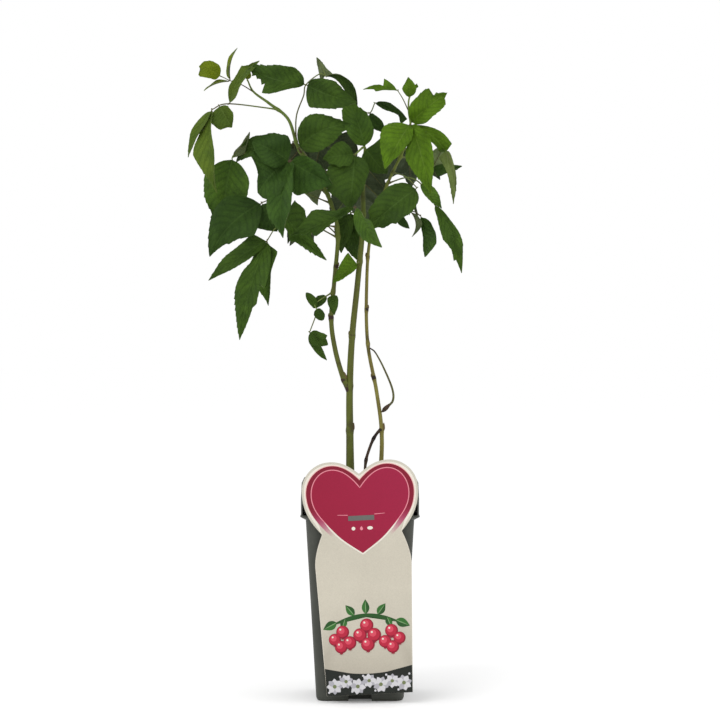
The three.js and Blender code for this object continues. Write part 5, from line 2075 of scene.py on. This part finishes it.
@dataclass
class Card:
    """The heart-topped card, its printed heart, its sprig of fruits and its strip of flowers.

    Outlines are in the card's own upright plane, and are then turned about its pivot and set before
    the pot's collar. A film of ink is as thick as a layer, and sinks a little into what is under it.
    The heart's painted light is how much ink it loses to each millimetre right and up, and the height
    that this is counted from: painted light that makes the heart lighter towards its upper right.
    """

    thickness: float = 1.0
    back: float = -49.3
    turn: float = 2.8
    pivot: Pair = (3.3, 104.0)
    layer: float = 0.05
    film_sink: float = 0.02
    round_edge: float = 0.12
    painted_light_slope: Place = (0.0015, 0.001, 165.0)
    middle: Pair = (0.0, 110.0)

    def place(self, flat: Array, depth: Array | float) -> Array:
        """Points in space from flat ones.

        Args:
            flat: the (..., 2) flat points.
            depth: their depth from the card's back.

        Returns:
            The (..., 3) points, turned about the pivot.
        """
        a = math.radians(self.turn)
        x, z = flat[..., 0], flat[..., 1] - self.pivot[1]
        right = math.cos(a) * x - math.sin(a) * z + self.pivot[0]
        up = math.sin(a) * x + math.cos(a) * z + self.pivot[1]
        return np.stack([right, self.back - np.broadcast_to(depth, right.shape), up], axis=-1)

    @staticmethod
    def mirrored(right: Array) -> Array:
        """A closed outline, anticlockwise, from its right half, which runs upwards."""
        left = right[1:-1][::-1] * np.array([-1, 1])
        return np.vstack([right, left])

    def outline(self) -> Array:
        """The card's edge: a tongue that widens to its shoulders, then the waist and the heart.

        Returns:
            The closed edge, as points across and up the card.
        """
        steps = 14
        tongue = np.linspace((35, 8), (39.25, 112), 26, endpoint=False)
        foot = np.linspace((0, 8), (35, 8), 12, endpoint=False)
        shoulder = bezier([(39.25, 112), (39.6, 119.3), (37.3, 128.5), (32.5, 139.5)], steps)
        heart = bezier([
            (32.5, 139.5), (43.6, 151.5), (47.4, 161.5), (47.4, 174.5),
            (47.4, 187.4), (37, 198), (23.7, 198), (11.9, 198), (5.7, 191.6), (0, 187.6),
        ], steps)
        return self.mirrored(np.vstack([foot, tongue, shoulder, heart, [(0, 187.6)]]))

    def inner_heart(self) -> Array:
        """The edge of the magenta heart, from its tip round to its notch and back.

        Returns:
            Points across and up the card.
        """
        right = bezier([
            (0, 123), (6, 127.5), (13, 131.5), (19.8, 138.2), (23.5, 142), (27.8, 147), (31, 150.7),
            (36.5, 157), (39.8, 163.5), (39.8, 171.5), (39.8, 182.5), (32.5, 191.6), (22.4, 191.6),
            (13, 191.6), (5.5, 184), (0, 176.3),
        ], 16)
        return self.mirrored(np.vstack([right, [(0, 176.3)]]))

    def outer_heart(self) -> Array:
        """The edge of the band round the heart, matched point for point with the heart's own.

        Returns:
            Points across and up the card.
        """
        right = bezier([
            (0, 122.6), (7, 127), (14.5, 130.5), (21.6, 135), (26, 138.5), (31, 143.5), (35, 148.7),
            (41, 156.5), (43.9, 163.5), (43.9, 172.7), (43.9, 184.5), (34, 194.8), (22.4, 194.8),
            (13.5, 194.8), (6, 189), (0, 182.4),
        ], 16)
        return self.mirrored(np.vstack([right, [(0, 182.4)]]))

    def slab(
        self, outline: Array, centre: Sequence[float], shares: Array, depths: Array, slot: int, mark: float
    ) -> Surface:
        """A closed plate over an outline, from rings drawn in towards a centre.

        Args:
            outline: the flat edge, anticlockwise.
            centre: the flat point that the rings shrink to.
            shares: each ring's share of the way from the centre to the edge, from the back to the front.
            depths: each ring's depth from the card's back.
            slot: the finish of its faces.
            mark: how much ink it carries.

        Returns:
            The plate.
        """
        flat = np.array(centre) + (outline - centre)[None] * np.asarray(shares)[:, None, None]
        points = self.place(flat, np.asarray(depths)[:, None])
        return closed_loft(points[:, ::-1], slot, np.full(points.shape[:2], mark))

    def layer_depths(self, layer: float) -> Pair:
        """How deep a layer's foot and its top lie, from the card's back."""
        low = self.thickness + self.layer * (layer - 1) - self.film_sink
        return low, self.thickness + self.layer * (layer - 0.6)

    def film(self, outline: Array, layer: float, ink: "Ink") -> Surface:
        """A film of ink over an outline, a very low dome on a numbered layer of the print.

        The dome is there so that films which overlap on one layer cross each other cleanly.

        Args:
            outline: the flat edge, anticlockwise.
            layer: the layer's number, from 1 on the bare card.
            ink: its ink.

        Returns:
            The film.
        """
        shares = np.array([0.04, 0.6, 1.0, 1.0, 0.97, 0.8, 0.45, 0.04])
        low, high = self.layer_depths(layer)
        rise = 0.4 * self.layer * np.sqrt(1 - shares[3:] ** 2)
        depths = np.concatenate([[low, low, low], high + rise])
        return self.slab(outline, outline.mean(0), shares, depths, ink.finish, 1.0)

    def ribbon(
        self,
        outline: Array,
        out: Array | float,
        into: Array | float,
        layer: float,
        ink: "Ink",
        mark: Array | float = 1.0,
    ) -> Surface:
        """A closed ribbon of ink along an outline.

        Args:
            outline: the flat edge that it follows, anticlockwise.
            out: how far it reaches outside the edge.
            into: how far it reaches inside the edge.
            layer: the layer's number.
            ink: its ink.
            mark: how much ink it carries.

        Returns:
            The ribbon.
        """
        outer, inner = self.inset(outline, -np.asarray(out)), self.inset(outline, np.asarray(into))
        return self.strip(inner, outer, self.layer_depths(layer), ink, mark)

    def strip(
        self, inner: Array, outer: Array, depths: Pair, ink: "Ink", mark: Array | float
    ) -> Surface:
        """A closed strip of ink between two outlines that match point for point.

        Args:
            inner: the flat edge that is further in.
            outer: the flat edge that is further out.
            depths: how deep its foot and its top lie, from the card's back.
            ink: its ink.
            mark: how much ink it carries.

        Returns:
            The strip.
        """
        back, front = depths
        corners = ((inner, front), (outer, front), (outer, back), (inner, back))
        rows = np.stack([self.place(row, depth) for row, depth in corners])
        count = rows.shape[1]
        index = np.arange(4 * count).reshape(4, count)
        after, on = np.roll(index, -1, axis=1), np.roll(index, -1, axis=0)
        quads = np.stack([on, np.roll(on, -1, axis=1), after, index], axis=-1).reshape(-1, 4)
        marks = np.broadcast_to(mark, (4, count)).ravel().astype(float)
        return Surface(
            rows.reshape(-1, 3), quads, np.zeros((0, 3), int), np.zeros((4 * count, 2)), marks,
            np.full(len(quads), ink.finish),
        )

    @staticmethod
    def inset(outline: Array, by: Array | float) -> Array:
        """An outline moved inwards, square to its own run.

        Args:
            outline: the (n, 2) flat edge, anticlockwise.
            by: one distance, or one for each point.

        Returns:
            The (n, 2) points.
        """
        run = np.roll(outline, -1, axis=0) - np.roll(outline, 1, axis=0)
        inward = np.stack([-run[:, 1], run[:, 0]], axis=-1)
        inward /= np.linalg.norm(inward, axis=1, keepdims=True)
        return outline + np.broadcast_to(by, len(outline))[:, None] * inward

    @staticmethod
    def disc(centre: Pair, radius: float, squash: float = 1.0, count: int = 24) -> Array:
        """A round or oval outline, anticlockwise."""
        angle = np.linspace(0, 2 * math.pi, count, endpoint=False)
        return np.array(centre) + radius * np.column_stack([np.cos(angle), squash * np.sin(angle)])

    @staticmethod
    def petal(foot: Pair, angle: float, length: float, width: float, sharp: float = 0.8) -> Array:
        """A petal or leaf outline, whose half width goes by the sine of its run to a power.

        Args:
            foot: where it starts.
            angle: degrees that it points, anticlockwise from the right.
            length: how long it is.
            width: how wide it is.
            sharp: the power, higher for a shape that is widest nearer its tip.

        Returns:
            The (22, 2) points, anticlockwise.
        """
        t = np.concatenate([np.linspace(0, 1, 12), np.linspace(1, 0, 12)[1:-1]])
        sign = np.where(np.arange(len(t)) < 12, -1, 1)
        aside = sign * width / 2 * np.sin(math.pi * t**sharp)
        c, s = math.cos(math.radians(angle)), math.sin(math.radians(angle))
        x, y = t * length, aside
        return np.array(foot) + np.column_stack([c * x - s * y, s * x + c * y])

    def currant(self, centre: Pair, radius: float, layer: float) -> list[Surface]:
        """A printed round fruit.

        Args:
            centre: its middle.
            radius: its radius.
            layer: the layer of its rim, the lowest.

        Returns:
            A dark rim, two lighter fields, a small light and a dry tip.
        """
        x, z = centre
        made = [self.film(self.disc(centre, radius), layer, Ink.FRUIT_DARK)]
        between_vein_light = (
            (0.08, 0.08, 0.86, Ink.FRUIT), (0.2, 0.24, 0.5, Ink.FRUIT_LIGHT), (0.34, 0.42, 0.15, Ink.PALE),
        )
        for k, (left, up, share, ink) in enumerate(between_vein_light, 1):
            disc = self.disc((x - left * radius, z + up * radius), radius * share)
            made.append(self.film(disc, layer + k, ink))
        for angle in (235, 270, 305):
            tip = self.petal((x, z - radius * 0.8), angle, radius * 0.45, radius * 0.2)
            made.append(self.film(tip, layer + 3, Ink.FRUIT_DARK))
        return made

    def leaf(self, foot: Pair, angle: float, length: float, width: float) -> list[Surface]:
        """A printed leaf in two greens, split along its midrib.

        Args:
            foot: where it starts.
            angle: degrees that it points, anticlockwise from the right.
            length: how long it is.
            width: how wide it is.

        Returns:
            Its whole outline, its darker half and its midrib.
        """
        outline = self.petal(foot, angle, length, width)
        half = np.vstack([outline[:12], self.petal(foot, angle, length, width * 0.06)[11:]])
        vein = self.petal(foot, angle, length * 0.94, width * 0.09)
        films = ((outline, 1, Ink.LEAF), (half, 2, Ink.LEAF_DARK), (vein, 3, Ink.LEAF_LIGHT))
        return [self.film(*film) for film in films]

    def daisy(self, centre: Pair, radius: float, petals: int, turn: float) -> list[Surface]:
        """A plain printed daisy with narrow petals and a round eye.

        Args:
            centre: its middle.
            radius: the length of a petal.
            petals: how many.
            turn: degrees that the first one points, anticlockwise from the right.

        Returns:
            The petals, every third one shaded, and the eye.
        """
        made = []
        for k in range(petals):
            outline = self.petal(centre, turn + 360 * k / petals, radius, radius * 5.2 / petals, 1.1)
            made.append(self.film(outline, 2 + 0.5 * (k % 2), Ink.PETAL if k % 3 else Ink.PETAL_SHADE))
        made.append(self.film(self.disc(centre, radius * 0.24, 1.0, 12), 4, Ink.EYE))
        return made

    def sprig(self) -> list[Surface]:
        """A bowed twig with seven leaves along it, over round red fruits in three bunches.

        Returns:
            The films of the print, in the order they are made.
        """
        x = np.linspace(-27, 27, 28)
        bow = 73.5 - 0.0105 * x**2
        twig = np.vstack([np.column_stack([x, bow - 0.35]), np.column_stack([x, bow + 0.35])[::-1]])
        made = [self.film(twig, 1, Ink.LEAF_DARK)]
        for foot, angle, length, width in (
            ((-24, 67.5), 205, 12.5, 7.4), ((24, 67.5), -25, 12.5, 7.4), ((-9.5, 72.6), 128, 11, 6.4),
            ((9.5, 72.6), 52, 11, 6.4), ((0, 73.4), 90, 12, 6.2), ((-17, 70.4), 250, 9.5, 5.6),
            ((17, 70.4), 290, 9.5, 5.6),
        ):
            made += self.leaf(foot, angle, length, width)
        bunches = (
            (-19.6, 59.5, 5.3), (-26.2, 53.6, 5.0), (-14.2, 50.6, 5.4), (-21.4, 47.4, 5.2), (0.2, 64.2, 5.5),
            (-5.6, 56.4, 5.6), (6.0, 56.2, 5.6), (0.4, 48.6, 5.6), (20.2, 59.0, 5.3), (14.6, 50.4, 5.2),
            (26.4, 52.8, 5.0), (20.6, 45.9, 5.2),
        )
        for k, (cx, cz, radius) in enumerate(bunches):
            made += self.currant((cx, cz), radius, 3.2 + 0.12 * k)
        return made

    def meadow(self) -> list[Surface]:
        """The strip of daisies and buds on its dark ground, which dips in the middle of its top.

        Returns:
            The films of the print, in the order they are made.
        """
        x = np.linspace(-35.75, 35.75, 40)
        top = np.column_stack([x, 30.4 - 5.6 * (1 - (x / 36) ** 2)])[::-1]
        foot = np.column_stack([np.linspace(-34.95, 34.95, 12), np.full(12, 8.05)])
        made = [self.film(np.vstack([foot, top]), 1, Ink.NIGHT)]
        for k in range(7):
            centre = (-28.2 + 9.4 * k, 16.9 + (1.8 if k % 2 else -1.4) + 0.7 * math.sin(2.3 * k))
            made += self.daisy(centre, 5.9 if k % 2 else 6.6, 8, 17.0 * k)
        for k in range(8):
            dot = self.disc((-32.9 + 9.4 * k, 10.8 + 12.5 * (k % 2)), 0.9, 1.0, 10)
            made.append(self.film(dot, 2, Ink.PETAL))
        return made

    def heart(self) -> list[Surface]:
        """The printed heart: the band that fades away downwards, its lines, the field, a rule and signs.

        Returns:
            The films of the print, in the order they are made.
        """
        inner, outer, edge = self.inner_heart(), self.outer_heart(), self.outline()
        fade = np.clip((outer[:, 1] - 136) / 24, 0, 1) ** 1.4
        bright = np.clip((outer[:, 1] - 150) / 14, 0, 1)
        above = np.clip((inner[:, 1] - 144) / 8, 0, 1)
        rim = np.clip((edge[:, 1] - 140) / 6, 0, 1)
        made = [
            self.ribbon(edge, -0.15, 1.5 * rim + 0.2, 1, Ink.RIM),
            self.ribbon(edge, -1.5 * rim - 0.25, 3.4 * rim + 0.5, 1.02, Ink.PALE),
            self.ribbon(outer, 0.1 + 0.5 * bright, 0.6, 1.2, Ink.BLUSH, fade),
            self.band(inner, outer, fade),
            self.field(inner),
            self.ribbon(inner, 0.36 * above + 0.02, 0.36 * above + 0.02, 4, Ink.LINE),
            self.ribbon(inner, 1.25 * (1 - above) + 0.02, 0.02, 3.6, Ink.PALE),
        ]
        bar = np.array([(-10.6, 149.6), (10.6, 149.6), (10.6, 153.6), (-10.6, 153.6)], float)
        made.append(self.film(bar, 4, Ink.GREY))
        for side in (LEFT, RIGHT):
            rule = np.array([(10.9, 154.0), (19.2, 154.5), (19.2, 154.9), (10.9, 154.6)]) * (side, 1)
            made.append(self.film(rule[::side], 4, Ink.LINE))
        made.append(self.film(self.disc((-6.7, 143.2), 1.5), 4, Ink.PALE))
        made.append(self.film(self.petal((-0.2, 141.4), 90, 3.6, 2.4), 4, Ink.LINE))
        made.append(self.film(self.disc((6.8, 143.2), 2.3, 0.6), 4, Ink.PALE))
        return made

    def field(self, inner: Array) -> Surface:
        """The heart's colour, with painted light that makes it a little lighter towards its upper right and
        darker towards its tip.

        Args:
            inner: the edge of the heart.

        Returns:
            The film of the field.
        """
        made = self.film(inner, 2, Ink.MAGENTA)
        rightward, upward, level = self.painted_light_slope
        # Painted light: less ink towards the upper right and more towards the tip, as if lit from above
        # right.
        made.mark = 1.0 - rightward * made.points[:, 0] + upward * (level - made.points[:, 2])
        return made

    def band(self, inner: Array, outer: Array, fade: Array) -> Surface:
        """The darker band between the two hearts, which fades into the card where its mark is low."""
        depths = (self.thickness - self.film_sink, self.thickness + self.layer * 0.9)
        return self.strip(inner, outer, depths, Ink.BAND, fade)

    def build(self) -> None:
        """Makes the bare card and the print on it, and dresses both."""
        edge = self.outline()
        shares = np.array([0.04, 0.35, 0.7, 0.99, 1.0, 1.0, 0.99, 0.5, 0.04])
        front = self.thickness
        depths = np.array([0.0, 0.0, 0.0, 0.0, self.round_edge, front - self.round_edge, front, front, front])
        body = self.slab(edge, self.middle, shares, depths, 0, 0.0)
        low = np.clip((64 - body.points[:, 2]) / 30, 0, 1)
        body.mark = 0.55 * low**1.5
        blank = CardFinish("card_stock", 0.6, 0.2).material()
        Piece.make("card_sheet", body, [blank], "card", ["heart_card"], 40)
        inks = [CardFinish(f"ink_{ink.name.lower()}", 0.5, 0.25, ink.value).material() for ink in Ink]
        surfaces = [*self.heart(), *self.sprig(), *self.meadow()]
        Piece.make("card_print", Surface.join(surfaces), inks, "card", (), 40)


class Ink(Enum):
    """The inks of the card by their colours, in the order of the print's finishes."""

    MAGENTA = "8e0e34"
    BAND = "780a26"
    LINE = "d6808e"
    BLUSH = "dcaaa6"
    RIM = "bfbaac"
    PALE = "d8d2c6"
    GREY = "5e5e5a"
    FRUIT = "aa1f38"
    FRUIT_DARK = "84122a"
    FRUIT_LIGHT = "c84558"
    LEAF = "2f6428"
    LEAF_DARK = "214c1e"
    LEAF_LIGHT = "7a9c6a"
    NIGHT = "1a1e19"
    PETAL = "c4c3c6"
    PETAL_SHADE = "a3a2a8"
    EYE = "6c7550"

    @property
    def finish(self) -> int:
        """The number of its finish."""
        return list(Ink).index(self)


# ---- studio


@dataclass
class Studio:
    """The camera, the wide pale floor, and the soft light."""

    camera_place: Place = (0.0, -1.8, 0.28)
    lens: float = 107.55
    sensor: float = 36.0
    floor_half_width: float = 60.0
    room_light: float = 1.0
    lamps_aim: Place = (0.0, 0.0, 0.3)

    def build(self) -> None:
        """Makes all three."""
        self.camera()
        self.floor()
        self.light()

    def camera(self) -> None:
        """A level camera that looks along +Y at the plant."""
        data = bpy.data.cameras.new("camera")
        data.lens, data.sensor_width = self.lens, self.sensor
        data.clip_start, data.clip_end = 0.05, 50
        camera = link_object("camera", data)
        camera.location = self.camera_place
        camera.rotation_euler = (math.pi / 2, 0, 0)
        bpy.context.scene.camera = camera

    def floor(self) -> None:
        """A wide level sheet, pale enough to pass into the bright room all round."""
        reach = self.floor_half_width
        corners = [(-reach, -reach, 0), (reach, -reach, 0), (reach, reach, 0), (-reach, reach, 0)]
        mesh = bpy.data.meshes.new("floor")
        mesh.from_pydata(corners, [], [(0, 1, 2, 3)])
        paint = bpy.data.materials.new("floor_paint")
        paint.use_nodes = True
        shader = paint.node_tree.nodes["Principled BSDF"]
        for socket, value in (
            ("Base Color", (0.9, 0.9, 0.9, 1)), ("Roughness", 1.0), ("Specular IOR Level", 0.0),
            ("Emission Color", (1, 1, 1, 1)), ("Emission Strength", 0.1),
        ):
            shader.inputs[socket].default_value = value
        mesh.materials.append(paint)
        link_object("floor", mesh)

    def area(self, name: str, place: Vector, size: float, power: float) -> None:
        """One large square lamp that looks at the plant's middle.

        Args:
            name: its name.
            place: where it hangs, in metres.
            size: the length of its side, in metres.
            power: in watts.
        """
        data = bpy.data.lights.new(name, "AREA")
        data.size, data.energy = size, power
        lamp = link_object(name, data)
        lamp.location = place
        lamp.rotation_euler = (Vector(self.lamps_aim) - place).to_track_quat("-Z", "Y").to_euler()

    def light(self) -> None:
        """A bright even room, a large soft lamp from the upper left, and a weaker one from the right."""
        world = bpy.data.worlds.new("room")
        world.use_nodes = True
        background = world.node_tree.nodes["Background"]
        background.inputs["Color"].default_value = (1, 1, 1, 1)
        background.inputs["Strength"].default_value = self.room_light
        bpy.context.scene.world = world
        self.area("key", Vector((-1.3, -1.9, 1.9)), 1.5, 22)
        self.area("fill", Vector((1.8, -1.4, 1.0)), 1.6, 6)
        bpy.context.scene.view_settings.view_transform = "Standard"


def main() -> None:
    """Builds the plant, its pot and card, and the studio, in order."""
    logging.basicConfig(level=logging.INFO, format="%(message)s")
    LOG.info("packed nodes: %d", len(frame["nodes"]))
    Studio().build()
    Pot().build()
    Compost().build()
    Card().build()
    Canes().build()
    Foliage().build()


if __name__ == "__main__":
    main()
